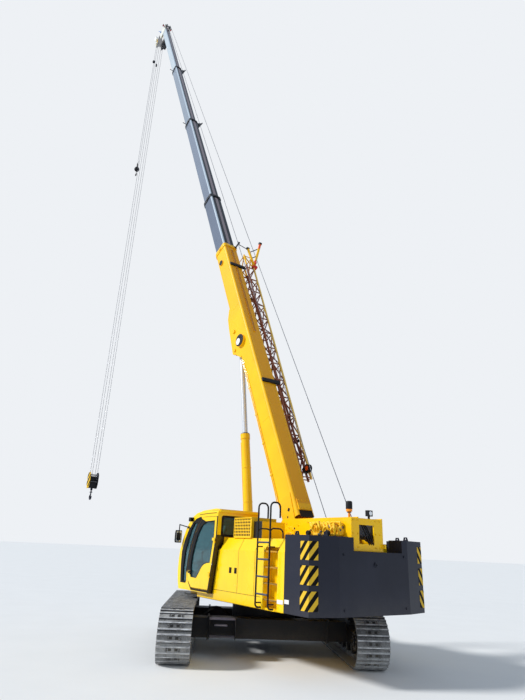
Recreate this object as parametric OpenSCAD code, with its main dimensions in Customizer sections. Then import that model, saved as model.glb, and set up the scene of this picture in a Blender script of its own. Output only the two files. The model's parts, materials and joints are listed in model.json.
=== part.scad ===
// Telescopic crawler crane, millimetres. +X forward along the upper structure, +Y to its left,
// +Z up. The origin lies on the slewing axis at ground level.

/* [Undercarriage] */
// Angle from the upper structure's forward direction to the tracks' forward direction
under_yaw = -30.6; // [-90:0.1:90]
// Distance between the idler's and the sprocket's centres
track_base = 4060; // [3600:10:4600]
// Distance between the centre planes of the two tracks
track_gauge = 3690; // [3200:10:4200]
// Width of a track shoe
shoe_w = 620; // [450:10:800]
// Height of a track over its shoes
track_h = 950; // [860:10:1050]
// Shoes in one track
shoe_count = 58; // [50:1:64]
// Height of a grouser bar above its shoe
grouser_h = 18; // [8:1:30]
// Thickness of a shoe plate
shoe_t = 24; // [16:1:32]
// Height of the link rails inside the shoes
link_h = 78; // [60:1:95]
// Width of one link rail
rail_w = 46; // [30:1:60]
// Free width between the two link rails
rail_gap = 84; // [70:1:110]
// Bottom rollers on each side
roller_count = 9; // [6:1:11]
// Height of the slewing ring's top above the ground
ring_top = 1000; // [980:5:1020]
// Outer diameter of the slewing ring
ring_d = 1420; // [1200:10:1600]

/* [Platform] */
// Thickness of the deck plate
deck_t = 40; // [25:1:60]
// Rear edge of the deck
deck_rear = -2600; // [-2650:5:-2400]
// Front edge of the deck
deck_front = 1180; // [1000:5:1300]
// Half width of the body over its side panels
body_half = 1495; // [1350:5:1600]
// Free width between the two main plates
main_gap = 620; // [580:5:640]
// Thickness of a main plate
main_t = 30; // [20:1:40]
// Boom foot pin, forward of the slewing axis
foot_x = -1335; // [-1450:5:-1250]
// Boom foot pin above the ground
foot_z = 2353; // [2250:5:2450]
// Radius of the boom foot pin
foot_r = 75; // [50:1:95]
// Lift cylinder base pin, forward of the slewing axis
base_x = 585; // [500:5:700]
// Lift cylinder base pin above the ground
base_z = 1400; // [1380:5:1500]
// Top of the main plates beside the boom foot
plate_top = 2700; // [2650:5:2800]
// Rear face of the winch frame
frame_rear = -3390; // [-3450:5:-3350]

/* [Housings] */
// Bottom edge of the side panels
panel_z = 1014; // [1005:1:1040]
// Top of the side housings
house_top = 2256; // [2150:2:2300]
// Rear end of the side housings
house_rear = -2664; // [-2700:2:-2640]
// Thickness of the housing panels
panel_t = 14; // [8:1:25]
// Front end of the right housing
right_front = 180; // [0:10:300]
// Height of the slope under the side housings' top
bevel_h = 240; // [150:5:300]
// How far that slope leans in
bevel_in = 130; // [60:5:130]

/* [Counterweight] */
// Top of the counterweight
weight_top = 2321; // [2250:2:2400]
// Front edge of its side wings
weight_front = -2668; // [-2700:2:-2640]
// Where its sides end and the rear chamfer starts
weight_corner = -3353; // [-3400:5:-3300]
// Rear face
weight_rear = -3492; // [-3560:2:-3480]
// Half width of the flat rear face
weight_flat = 908; // [700:5:1100]
// Wall of the rear block
weight_wall = 330; // [250:5:420]

/* [Cab] */
// Rear face of the cab
cab_rear = -365; // [-375:5:-345]
// How far its rear edge comes forward at the floor
cab_lean = 220; // [180:5:240]
// Right face of the cab
cab_in = 480; // [440:5:520]
// Left face of the cab
cab_out = 1600; // [1550:5:1650]
// Floor of the cab above the ground
cab_floor = 1120; // [1100:5:1160]
// Wall of the cab, as thick as its door
cab_t = 46; // [35:1:60]
// Thickness of the glass
glass_t = 8; // [5:1:12]

/* [Boom] */
// Elevation of the boom
boom_angle = 64.8; // [60:0.1:70]
// Width of the base section
base_w = 500; // [470:5:540]
// Depth of the base section
base_h = 656; // [620:2:700]
// Top face of the base section above the line through the foot pin
base_top = 340; // [320:2:360]
// Wall of every section
boom_t = 10; // [8:1:11]
// Step in half width from one section to the next
step_w = 25; // [24:1:28]
// Step in half depth from one section to the next
step_h = 27; // [25:1:30]
// End of the base section from the foot pin
base_end = 10400; // [10300:10:10800]
// How far section 2 stands out
out_2 = 3280; // [2600:10:3600]
// How far each of sections 3 to 5 stands out
out_345 = 6850; // [6200:10:7100]
// Length of the collar at a section's end
collar_l = 150; // [120:5:180]
// How far a collar stands out around its section
collar_up = 22; // [15:1:30]
// Running clearance between a section and the pads that guide it
slide_gap = 0.4; // [0.3:0.1:1]
// Lift pin from the foot pin, along the boom
lift_at = 5950; // [5800:10:6100]
// Lift pin below the line through the foot pin
lift_drop = 440; // [435:5:480]

/* [Lift cylinder] */
// Outer diameter of the barrel
barrel_d = 235; // [210:5:260]
// Diameter of the rod
rod_d = 150; // [110:5:170]
// Length of the barrel from its pin to its mouth
barrel_l = 3640; // [3300:10:3700]
// Inner end of the rod from the barrel's pin, as the crane is parked
rod_start = 2750; // [2600:10:2900]
// Radius of the pins at both ends
lift_r = 48; // [35:1:60]

/* [Hoist] */
// Radius of the head sheaves
sheave_r = 190; // [150:5:220]
// Height of the main hook block's sheave pin above the ground
hook_z = 4750; // [4400:10:5200]
// Height of the auxiliary hook's ball above the ground
ball_z = 23250; // [22500:10:24000]
// Diameter of the hoist ropes
rope_d = 16; // [12:1:20]
// Spacing of the two sheaves in the hook block
fall_step = 240; // [200:5:248]

/* [Jib] */
// Length of the stowed lattice jib
jib_l = 8400; // [8000:50:8500]
// Diameter of its chords
chord_d = 60; // [40:2:76]
// Diameter of its lacing
lace_d = 30; // [20:2:40]

/* [Hidden] */
$fn = 48;
eps = 0.3;

yellow = "#f2b50c";
dark = "#26282b";
slate = "#2f3640";
steel = "#7d7f80";

// Axes and places that several pieces share.
end_r = track_h / 2;
wheel_z = end_r;
link_r = end_r - grouser_h - shoe_t;
run_r = link_r - link_h;
ring_base = ring_top - 110;
deck_z = ring_top + 2;
deck_top = deck_z + deck_t;
main_in = main_gap / 2;
main_out = main_in + main_t;

// Columns: half width, half depth, centre line above the foot line, rear end, front end.
mid_z = base_top - base_h / 2;
section_l = [0, 9800, 9600, 9400, 9200];
end_at = [base_end, base_end + out_2, base_end + out_2 + out_345, base_end + out_2 + 2 * out_345,
    base_end + out_2 + 3 * out_345];
function half_w(i) = base_w / 2 - i * step_w;
function half_h(i) = base_h / 2 - i * step_h;
head_at = end_at[4];
pin_r = 45;

// Head sheaves and what hangs from them, from the foot pin along and square to the boom.
head_pin = [head_at - 60, -820];
tip_pin = [head_at + 830, -1130];
guide_pin = [head_at - 1000, -560];
top_pin = [head_at + 110, 345];
function boom_x(p) = foot_x + p[0] * cos(boom_angle) - p[1] * sin(boom_angle);
function boom_z(p) = foot_z + p[0] * sin(boom_angle) + p[1] * cos(boom_angle);
fall_x = boom_x(head_pin);
tip_x = boom_x(tip_pin) + sheave_r - rope_d / 2;

// Lift cylinder: direction and length between its pins at rest.
lift_x = boom_x([lift_at, -lift_drop]);
lift_z = boom_z([lift_at, -lift_drop]);
lift_len = norm([lift_x - base_x, lift_z - base_z]);
lift_angle = atan2(lift_z - base_z, lift_x - base_x);
// Bottom of the counterweight's notch and floor of the winch frame over it.
notch_z = weight_top - 235;
frame_floor = notch_z + 6;
// Side plates and faces of the boom's foot.
foot_plate = 16;
foot_face = base_w / 2 + foot_plate + 2;
house_front = cab_rear - 20;
eye_r = 104;
eye_half = 95;
base_gap = 5;

module under() { rotate([0, 0, under_yaw]) children(); }
module on_boom() { translate([foot_x, 0, foot_z]) rotate([0, -boom_angle, 0]) children(); }
module on_lift() { translate([base_x, 0, base_z]) rotate([0, -lift_angle, 0]) children(); }
// Extrudes a flat shape drawn in Y and Z along X.
module along(l) { rotate([90, 0, 90]) linear_extrude(l) children(); }
// Extrudes a flat shape drawn in X and Z from y0 to y1.
module across(y0, y1) { translate([0, y1, 0]) rotate([90, 0, 0]) linear_extrude(y1 - y0) children(); }
module rod_y(x, z, r, y0, y1) { translate([x, y1, z]) rotate([90, 0, 0]) cylinder(r = r, h = y1 - y0); }
module both() { children(); mirror([0, 1, 0]) children(); }
module box(a, b) { translate(a) cube(b - a); }
// A round bar from a to b.
module bar(a, b, r) {
    v = b - a;
    translate(a) rotate([0, acos(v[2] / norm(v)), atan2(v[1], v[0])]) cylinder(r = r, h = norm(v));
}
// Points of an arc round c from angle a to angle b.
function arc(c, r, a, b, n) = [for (i = [0 : n]) c + r * [cos(a + (b - a) * i / n), sin(a + (b - a) * i / n)]];

// Boom profile: rounded top corners and a wide round belly.
function profile(w, h, grow) = let (rt = 60 + grow, rb = w * 0.62 + grow, W = w + grow, H = h + grow) concat(
    arc([W - rt, H - rt], rt, 0, 90, 4), arc([rt - W, H - rt], rt, 90, 180, 4),
    arc([rb - W, rb - H], rb, 180, 270, 6), arc([W - rb, rb - H], rb, 270, 360, 6));
module section_shape(i, grow) { translate([0, mid_z]) polygon(profile(half_w(i), half_h(i), grow)); }
module ring_shape(i, outer, inner) { difference() { section_shape(i, outer); section_shape(i, inner); } }

// One telescoping section: tube, rear guide ring and, unless it is the last, the collar for the next.
module section(i) {
    rear = i == 0 ? 330 : end_at[i] - section_l[i];
    translate([rear, 0, 0]) along(end_at[i] - rear) ring_shape(i, 0, -boom_t);
    if (i > 0) translate([rear, 0, 0]) along(120) difference() {
        section_shape(i, 0);
        section_shape(i, -boom_t - 30);
    }
    if (i > 0) translate([rear, 0, 0]) along(120) difference() {
        section_shape(i - 1, -boom_t - slide_gap);
        section_shape(i, -boom_t);
    }
    if (i < 4) translate([end_at[i] - collar_l, 0, 0]) along(collar_l) difference() {
        section_shape(i, collar_up);
        section_shape(i + 1, slide_gap);
    }
    if (i == 2 || i == 3) ears(i);
}
// Horn on the right and stub on the left of a collar.
module ears(i) {
    w = half_w(i) + collar_up;
    top = mid_z + half_h(i) + collar_up;
    translate([end_at[i] - collar_l + 20, 0, 0]) along(collar_l - 50) polygon([[-w + 4, top - 250], [-w + 4, top - 62],
        [-w - 60, top - 40], [-w - 150, top], [-w - 205, top + 70], [-w - 165, top - 90], [-w - 120, top - 290]]);
    rod_y(end_at[i] - collar_l / 2, mid_z - 60, 16, w - 4, w + 190);
}

// Undercarriage

// Place and tangent at distance s along a stadium loop of radius r round the two wheels.
half_run = track_base / 2;
function loop_len(r) = 2 * track_base + 2 * PI * r;
function loop_at(s, r) = let (q = PI * r)
    s < track_base ? [half_run - s, wheel_z - r, 180]
    : s < track_base + q ? let (a = 270 - (s - track_base) / r * 180 / PI)
        [-half_run + r * cos(a), wheel_z + r * sin(a), a - 90]
    : s < 2 * track_base + q ? [-half_run + s - track_base - q, wheel_z + r, 0]
    : let (a = 90 - (s - 2 * track_base - q) / r * 180 / PI) [half_run + r * cos(a), wheel_z + r * sin(a), a - 90];
function on_loop(s, r, up) = let (p = loop_at(s, r)) [p[0] - up * sin(p[2]), p[1] + up * cos(p[2])];
shoe_pitch = loop_len(link_r) / shoe_count;
// Columns: place along the shoe as a share of the pitch, height over the link line.
shoe_form = [[0.03, 0], [0.03, shoe_t], [0.08, shoe_t + grouser_h], [0.20, shoe_t + grouser_h], [0.25, shoe_t],
    [0.60, shoe_t], [0.64, shoe_t + grouser_h], [0.76, shoe_t + grouser_h], [0.80, shoe_t], [0.97, shoe_t], [0.97, 0]];
shoe_outline = [for (k = [0 : shoe_count - 1], f = shoe_form)
    on_loop((k + f[0]) * shoe_pitch, link_r, f[1])];
function stadium(r, n) = concat(arc([half_run, wheel_z], r, -90, 90, n), arc([-half_run, wheel_z], r, 90, 270, n));

loop_steps = 20;
module track() {
    across(-shoe_w / 2, shoe_w / 2) difference() {
        polygon(shoe_outline);
        polygon(stadium(link_r - 6, loop_steps));
    }
    both() across(rail_gap / 2, rail_gap / 2 + rail_w) difference() {
        polygon(stadium(link_r - 5, loop_steps));
        polygon(stadium(run_r, loop_steps));
    }
}
// Wheels that fit inside the flats of the link rails.
wheel_r = run_r * cos(90 / loop_steps) - eps;
module at_track(side) { under() translate([0, side * track_gauge / 2, 0]) children(); }
module track_left() { color(steel) at_track(1) track(); }
module track_right() { color(steel) at_track(-1) track(); }

roller_r = 105;
top_r = 70;
// Side frame between the wheels, with guards and a step on its top.
frame_in = 200;
frame_z0 = wheel_z - run_r + 2 * roller_r + 15;
frame_z1 = wheel_z + run_r - 2 * top_r - 15;
frame_half = half_run - run_r - 90;
module track_frame(side) {
    beam = [[-frame_half + 90, frame_z0], [frame_half - 90, frame_z0], [frame_half, frame_z0 + 110],
        [frame_half, frame_z1 - 120], [frame_half - 160, frame_z1], [-frame_half + 160, frame_z1],
        [-frame_half, frame_z1 - 120], [-frame_half, frame_z0 + 110]];
    color(dark) at_track(side) {
        across(-frame_in, frame_in) difference() {
            polygon(beam);
            translate([0, (frame_z0 + frame_z1) / 2]) scale(0.9) translate([0, -(frame_z0 + frame_z1) / 2])
                polygon(beam);
        }
        both() {
            across(frame_in - 20, frame_in) polygon(beam);
            across(frame_in - 40, frame_in) fork();
            rod_y(-half_run, wheel_z, 165, frame_in - 5, frame_in + 55);
            rod_y(-half_run, wheel_z, 95, frame_in + 50, frame_in + 80);
            rod_y(half_run, wheel_z, 80, frame_in - 5, frame_in + 25);
        }
        both() for (u = roller_at) box([u - 42, frame_in - 40, roller_z - 42], [u + 42, frame_in, frame_z0 + 10]);
    }
}
// Arms that hold the idler's and the sprocket's axles.
module fork() {
    for (s = [-1, 1]) polygon([[s * (frame_half - 60), wheel_z - 110], [s * (half_run + 70), wheel_z - 80],
        [s * (half_run + 70), wheel_z + 80], [s * (frame_half - 60), wheel_z + 110]]);
}
module track_frame_left() { track_frame(1); }
module track_frame_right() { track_frame(-1); }

roller_z = wheel_z - run_r + roller_r + eps;
roller_span = track_base - 2 * run_r - 260;
roller_at = [for (i = [0 : roller_count - 1]) -roller_span / 2 + i * roller_span / (roller_count - 1)];
roller_half = frame_in - 40 - eps;
rail_out = rail_gap / 2 + rail_w;
module rollers() {
    color(dark) for (s = [-1, 1]) at_track(s) {
        for (u = roller_at) {
            rod_y(u, roller_z, roller_r, -rail_out, -rail_gap / 2);
            rod_y(u, roller_z, roller_r, rail_gap / 2, rail_out);
            rod_y(u, roller_z, 35, -roller_half, roller_half);
            rod_y(u, roller_z, roller_r - 22, -rail_gap / 2 - 1, rail_gap / 2 + 1);
        }
        for (u = [-0.42, 0.42] * track_base / 2) {
            both() rod_y(u, wheel_z + run_r - top_r - eps, top_r, rail_gap / 2, rail_out);
            box([u - 26, -rail_gap / 2 + 4, frame_z1], [u + 26, rail_gap / 2 - 4, wheel_z + run_r - top_r - 30]);
            rod_y(u, wheel_z + run_r - top_r - eps, 30, -rail_gap / 2 - 1, rail_gap / 2 + 1);
        }
    }
}
teeth = 21;
module sprockets() {
    color(dark) for (s = [-1, 1]) at_track(s) translate([-half_run, 0, wheel_z]) {
        both() rod_y(0, 0, wheel_r, rail_gap / 2, rail_out);
        across(-26, 26) polygon([for (i = [0 : teeth * 4 - 1]) let (a = i * 90 / teeth)
            (i % 4 < 2 ? link_r - 30 : run_r - 6) * [cos(a), sin(a)]]);
        rod_y(0, 0, run_r - 40, -rail_gap / 2 - 1, rail_gap / 2 + 1);
        rod_y(0, 0, 150, -frame_in + 40 + eps, frame_in - 40 - eps);
    }
}
module idlers() {
    color(dark) for (s = [-1, 1]) at_track(s) translate([half_run, 0, wheel_z]) difference() {
        union() {
            rod_y(0, 0, wheel_r, -rail_out, rail_out);
            rod_y(0, 0, link_r - 30, -rail_gap / 2 + 6, rail_gap / 2 - 6);
            rod_y(0, 0, 95, -frame_in + 40 + eps, frame_in - 40 - eps);
        }
        for (a = [0 : 60 : 300]) rod_y(220 * cos(a), 220 * sin(a), 55, -frame_in, frame_in);
    }
}

// Centre body: drum under the ring, two cross beams to the side frames, steps on the beams.
beam_at = 950;
beam_w = 420;
beam_z0 = 320;
beam_z1 = 690;
module carbody() {
    inner = track_gauge / 2 - frame_in;
    drum_r = ring_d / 2 + 10;
    drum_z0 = beam_z0 + 60;
    web = beam_at - beam_w / 2 + 5;
    color(dark) under() {
        difference() {
            union() {
                translate([0, 0, drum_z0]) cylinder(r = drum_r, h = ring_base - drum_z0);
                box([-web, -600, drum_z0], [web, 600, beam_z1 - 60]);
            }
            translate([0, 0, drum_z0 + 30]) cylinder(r = drum_r - 110, h = ring_base);
        }
        for (u = [-beam_at, beam_at]) difference() {
            union() {
                box([u - beam_w / 2, -inner, beam_z0], [u + beam_w / 2, inner, beam_z1]);
                both() box([u - beam_w / 2 - 30, inner - 420, beam_z0 - 30], [u + beam_w / 2 + 30, inner - 380, beam_z1 + 30]);
            }
            box([u - beam_w / 2 + 25, -inner - 1, beam_z0 + 25], [u + beam_w / 2 - 25, inner + 1, beam_z1 - 25]);
        }
    }
}
module slew_ring() {
    color(steel) difference() {
        union() {
            translate([0, 0, ring_base]) cylinder(r = ring_d / 2, h = 60);
            translate([0, 0, ring_base + 60]) cylinder(r = ring_d / 2 - 30, h = 50);
        }
        translate([0, 0, ring_base - 1]) cylinder(r = ring_d / 2 - 130, h = 112);
    }
}

// Upper structure

// Side view of one main plate, from the cylinder's seat over the boom foot to the winches.
plate_side = [[frame_rear, frame_floor], [weight_rear + weight_wall + 20, frame_floor], [deck_rear, deck_top],
    [deck_front - 60, deck_top], [deck_front - 60, deck_top + 250], [base_x + 170, base_z + 210],
    [base_x - 160, base_z + 250], [-830, 2440], [-1070, plate_top], [-1690, plate_top],
    [frame_rear, plate_top]];
// Left side of the box behind the winches.
box_side = 500;
module platform() {
    color(yellow) {
        difference() {
            union() {
                box([deck_rear, -body_half + 30, deck_z], [deck_front, body_half - 30, deck_top]);
                both() across(main_in, main_out) polygon(plate_side);
                both() rod_y(foot_x, foot_z, 190, foot_face + 2, main_out + 15);
                both() rod_y(base_x, base_z, 130, main_in, main_out + 20);
                box([-2380, -main_in, deck_top], [-2350, main_in, 2180]);
                box([frame_rear, -main_in, frame_floor], [-2380, main_in, frame_floor + 30]);
                box([frame_rear, -main_in, frame_floor], [frame_rear + 30, box_side, plate_top - 20]);
                box([frame_rear, box_side - 30, frame_floor], [frame_rear + 240, box_side, plate_top - 20]);
                box([frame_rear - 70, -main_out, 2150], [frame_rear + 1, 25 - main_out, 2230]);
            }
            box([frame_rear - 1, -100, 2220], [frame_rear + 31, main_in - 10, 2560]);
            rod_y(frame_rear - 40, 2195, 16, -main_out - 1, main_out);
            rod_y(foot_x, foot_z, foot_r + eps, -main_out - 100, main_out + 100);
            translate([0, 0, deck_z - 1]) cylinder(r = 330, h = deck_t + 2);
        }
        translate([0, 0, ring_top + 0.6]) difference() {
            cylinder(r = ring_d / 2 - 30, h = deck_z - ring_top - 0.6);
            translate([0, 0, -1]) cylinder(r = ring_d / 2 - 160, h = 10);
        }
    }
    color(steel) {
        both() rod_y(foot_x, foot_z, foot_r, base_w / 2 - 60, main_out + 60);
        both() rod_y(base_x, base_z, lift_r + 30, main_out + 20, main_out + 38);
    }
}

// Counterweight: rear block with two side wings, notched over the winch frame.
module counterweight() {
    outer = [[weight_front, body_half], [weight_corner, body_half], [weight_rear, weight_flat],
        [weight_rear, -weight_flat], [weight_corner, -body_half], [weight_front, -body_half]];
    inner = body_half - 260;
    color(slate) difference() {
        translate([0, 0, panel_z]) linear_extrude(weight_top - panel_z) polygon(outer);
        box([weight_rear + weight_wall, -inner, panel_z - 1], [weight_front + 1, inner, weight_top + 1]);
        box([weight_rear - 1, -750, notch_z], [weight_front + 1, 550, weight_top + 1]);
    }
    color(slate) for (p = eye_at) lifting_eye(p);
}
// Columns: place along X, place along Y.
eye_at = [[-3320, 1080], [-3320, -1080], [-2860, 1365], [-2860, -1365]];
module lifting_eye(p) {
    across(p[1] - 12, p[1] + 12) difference() {
        translate([p[0], weight_top]) polygon([[-60, -5], [60, -5], [34, 74], [-34, 74]]);
        translate([p[0], weight_top + 40]) circle(19);
    }
}

// Open box of thin walls with no floor.
module shell_box(x0, x1, y0, y1, z0, z1, t) {
    difference() {
        box([x0, y0, z0], [x1, y1, z1]);
        box([x0 + t, y0 + t, z0 - 1], [x1 - t, y1 - t, z1 - t]);
    }
}
// Side housing: thin panels with no floor, the outer one sloping in under the top.
function house_form(t) = [[main_out + 20 + t, panel_z - t], [body_half - t, panel_z - t],
    [body_half - t, house_top - bevel_h - t / 2], [body_half - bevel_in - t / 2, house_top - t],
    [main_out + 20 + t, house_top - t]];
module housing(x1) {
    difference() {
        translate([house_rear, 0, 0]) along(x1 - house_rear) polygon(house_form(0));
        translate([house_rear + panel_t, 0, 0]) along(x1 - house_rear - 2 * panel_t) polygon(house_form(panel_t));
    }
}
// Recess with steps in the left housing's side.
step_x0 = -2460;
step_x1 = -2020;
step_y = body_half - 190;
step_top = house_top - 160;
module left_housing() {
    color(yellow) {
        difference() {
            union() {
                housing(house_front);
                intersection() {
                    box([step_x0 - panel_t, step_y - panel_t, panel_z], [step_x1 + panel_t, body_half, step_top + 10]);
                    translate([house_rear, 0, 0]) along(house_front - house_rear) polygon(house_form(1));
                }
            }
            box([step_x0, step_y, panel_z - 1], [step_x1, body_half + 1, step_top]);
            box([house_rear - 1, 0, panel_z - 1], [house_front + 1, body_half - 30 + eps, deck_top]);
        }
        for (z = [panel_z + 150 : 280 : house_top - 200])
            box([step_x0, step_y - 1, z], [step_x1, body_half - 16, z + 30]);
        // Outer panel's front part, cut to the cab's leaning rear, and the sill under the cab.
        across(body_half - 30, body_half) polygon([[house_front - 1, panel_z], [500, panel_z],
            [500, cab_floor - 5], [cab_back(cab_floor) - 20, cab_floor - 5],
            [cab_back(house_top - bevel_h) - 20, house_top - bevel_h], [house_front - 1, house_top - bevel_h]]);
    }
}
module right_housing() {
    color(yellow) difference() {
        mirror([0, 1, 0]) housing(right_front);
        box([house_rear - 1, -body_half + 30, panel_z - 1], [right_front + 1, 0, deck_top]);
    }
}
module front_tank() {
    color(yellow) {
        shell_box(right_front + 12, deck_front, -body_half + 10, -main_out - 200, deck_top, 1780, 20);
        for (z = [1120, 1340, 1560]) box([deck_front, -body_half + 60, z], [deck_front + 140, -body_half + 620, z + 25]);
        box([deck_front, -body_half + 60, 1100], [deck_front + 140, -body_half + 80, 1780]);
    }
}
module engine() {
    color(dark) box([-2250, -body_half + 145, deck_top], [-900, -main_out - 160, 1950]);
}
module cooler_grille() {
    color(yellow) difference() {
        box([-1400, 760, house_top], [-730, 1400, house_top + 410]);
        for (x = [-1350 : 62 : -780], z = [house_top + 40 : 62 : house_top + 360])
            box([x, 1360, z], [x + 42, 1401, z + 42]);
    }
    color(dark) box([-1700, 760, house_top], [-1400, 1340, house_top + 330]);
}

// Winch: drum between two flanges on a shaft, held by the main plates.
module winch(x, z, r) {
    w = main_in - 40;
    color(steel) {
        rod_y(x, z, r, -w, w);
        both() rod_y(x, z, r + 70, w - 25, w);
        both() rod_y(x, z, 70, w, main_in);
    }
}
module main_winch() { winch(-2560, 2460, 130); }
module aux_winch() { winch(-3110, 2460, 130); }

hose_x0 = -3200;
hose_r = 150;
// Yellow hoses that lie in loops on the counterweight's left wing, beside the main plate.
module hose_bundle() {
    color(yellow) {
        for (i = [0 : 4]) translate([hose_x0 + 130 + i * 185, 740, weight_top + hose_r])
            rotate([90, 0, i % 2 == 0 ? 12 : -12]) rotate_extrude() translate([hose_r - 24, 0]) circle(24, $fn = 24);
    }
}

// Cab

// Outline moved inwards by d on every side.
function inset_loop(points, d) = let (n = len(points)) [for (i = [0 : n - 1]) let (a = points[(i + n - 1) % n],
    b = points[i], c = points[(i + 1) % n], u = (b - a) / norm(b - a), v = (c - b) / norm(c - b))
    b + d * [-u[1] - v[1], u[0] + v[0]] / (1 + u * v)];
// The rear is upright above cab_bend and leans forward below it; the door's rear edge follows it.
cab_bend = 2300;
door_in = 45;
function cab_back(z) = cab_rear + cab_lean * max(0, cab_bend - z) / (cab_bend - cab_floor);
function door_back(z) = cab_back(z) + door_in;
cab_side = [[cab_back(cab_floor), cab_floor], [1240, cab_floor], [1310, 1310], [1350, 1540], [1345, 1770],
    [1315, 1960], [1225, 2180], [1110, 2400], [975, 2570], [800, 2700], [600, 2785], [350, 2840],
    [cab_rear + 180, 2870], [cab_rear, 2850], [cab_rear, cab_bend]];
door_form = [[door_back(1190), 1190], [660, 1190], [800, 1330], [865, 1520], [830, 1790], [755, 2070],
    [635, 2310], [470, 2540], [340, 2650], [240, 2690], [door_back(2690), 2690], [door_back(cab_bend), cab_bend]];
door_stile = 80;
door_window = [[door_back(1730) + door_stile, 1730], [0, 1720], [140, 1680], [240, 1605], [320, 1500],
    [430, 1390], [690, 1400], [725, 1640], [690, 1870], [610, 2100], [500, 2320], [350, 2500], [160, 2595],
    [door_back(2610) + door_stile, 2610], [door_back(cab_bend) + door_stile, cab_bend]];
quarter_window = [[880, 1290], [1065, 1290], [1090, 1620], [1055, 1940], [935, 2230], [830, 2430], [690, 2570],
    [535, 2570], [690, 2330], [810, 2080], [880, 1800], [915, 1540]];
windscreens = [[[880, 1680], [1500, 1680], [1500, 2648], [971, 2648], [887, 2536]],
    [[1200, 1230], [1500, 1230], [1500, 1640], [1200, 1640]]];
rear_window = [cab_bend + 10, 2690];
skylight = [-100, 300];
door_gap = 7;
side_in = 90;
module cab_windows() {
    across(cab_out - cab_t - 1, cab_out + 1) polygon(inset_loop(door_form, -door_gap));
    across(cab_out - cab_t - 1, cab_out + 1) polygon(quarter_window);
    across(cab_in - 1, cab_in + cab_t + 1) polygon(door_window);
    across(cab_in + side_in, cab_out - side_in) for (w = windscreens) polygon(w);
    box([cab_rear - 1, cab_in + 110, rear_window[0]], [cab_rear + cab_t + 1, cab_out - 130, rear_window[1]]);
    box([skylight[0], cab_in + 160, 2780], [skylight[1], cab_out - 160, 2950]);
}
module cab_shell() {
    color(yellow) difference() {
        union() {
            across(cab_in, cab_out) polygon(cab_side);
            box([cab_rear - 35, cab_in + 20, 2785], [cab_rear + 5, cab_out - 45, 2842]);
        }
        across(cab_in + cab_t, cab_out - cab_t) polygon(inset_loop(cab_side, cab_t));
        cab_windows();
        // Slope along the roof's left edge.
        translate([cab_rear - 1, 0, 0]) along(1200) polygon([[cab_out + 1, 2779], [cab_out + 1, 2950],
            [cab_out - 99, 2950]]);
    }
    color(yellow) hinge_pins();
    color(dark) box([cab_back(cab_floor) + 60, cab_in + 80, deck_top], [1100, cab_out - 260, cab_floor]);
}
module cab_glass() {
    color("#1c3036") {
        across(cab_in + 15, cab_in + 15 + glass_t) polygon(inset_loop(door_window, eps));
        across(cab_out - 30, cab_out - 30 + glass_t) polygon(inset_loop(quarter_window, eps));
        box([cab_rear + 15, cab_in + 110 + eps, rear_window[0] + eps],
            [cab_rear + 15 + glass_t, cab_out - 130 - eps, rear_window[1] - eps]);
        box([skylight[0] + eps, cab_in + 160 + eps, 2822], [skylight[1] - eps, cab_out - 160 - eps, 2822 + glass_t]);
        across(cab_in + side_in + eps, cab_out - side_in - eps) intersection() {
            union() for (w = windscreens) polygon(inset_loop(w, eps));
            difference() {
                polygon(inset_loop(cab_side, 15));
                polygon(inset_loop(cab_side, 15 + glass_t));
            }
        }
    }
}
// Hinges on the door's rear edge, on a line parallel to it: the cab holds the pins, the door the knuckles.
hinge_y = cab_out + 20;
hinge_in = door_in - 12;
hinge_at = [-880, -160];
module at_hinge() {
    translate([cab_rear + hinge_in, hinge_y, cab_bend]) rotate([0, -atan(cab_lean / (cab_bend - cab_floor)), 0])
        for (z = hinge_at) translate([0, 0, z]) children();
}
module hinge_pins() {
    at_hinge() {
        box([3 - hinge_in, -22, 0], [11, 14, 30]);
        cylinder(r = 9, h = 90);
    }
}
module hinge_knuckles() {
    at_hinge() difference() {
        union() {
            translate([0, 0, 30.5]) cylinder(r = 15, h = 58);
            box([0, 5, 30.5], [90, 15, 88.5]);
            box([40, -22, 30.5], [90, 15, 88.5]);
        }
        cylinder(r = 9.05, h = 100);
    }
}
handle = [755, 1500];
module cab_door() {
    color(yellow) {
        difference() {
            across(cab_out - cab_t, cab_out) polygon(door_form);
            across(cab_out - cab_t - 1, cab_out + 1) polygon(door_window);
        }
        hinge_knuckles();
        box([handle[0] - 45, cab_out, handle[1]], [handle[0] + 45, cab_out + 30, handle[1] + 30]);
    }
}
module door_glass() {
    color("#1c3036") across(cab_out - 30, cab_out - 30 + glass_t) polygon(inset_loop(door_window, eps));
}
module seat() {
    color("#1d1d1f") {
        box([80, 830, cab_floor + cab_t], [520, 1250, cab_floor + cab_t + 300]);
        box([20, 800, cab_floor + cab_t + 300], [560, 1280, cab_floor + cab_t + 430]);
        box([-80, 820, cab_floor + cab_t + 380], [60, 1260, cab_floor + cab_t + 1080]);
    }
}
module console() {
    color("#2a2b2d") {
        for (y = [620, 1330]) {
            box([120, y, cab_floor + cab_t], [640, y + 130, cab_floor + cab_t + 560]);
            bar([560, y + 65, cab_floor + cab_t + 555], [580, y + 65, cab_floor + cab_t + 740], 16);
        }
        box([1060, 700, cab_floor + cab_t], [1170, 1350, cab_floor + cab_t + 330]);
    }
}

// Ladder: two tubes with hooked tops, a low hoop from each over the roof's edge, and four rungs.
ladder_y = body_half + 125;
rail_r = 17;
hoop_r = 14;
rail_x = [-2360, -1960];
rung_z = [1276, 1576, 1876, 2176];
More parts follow.
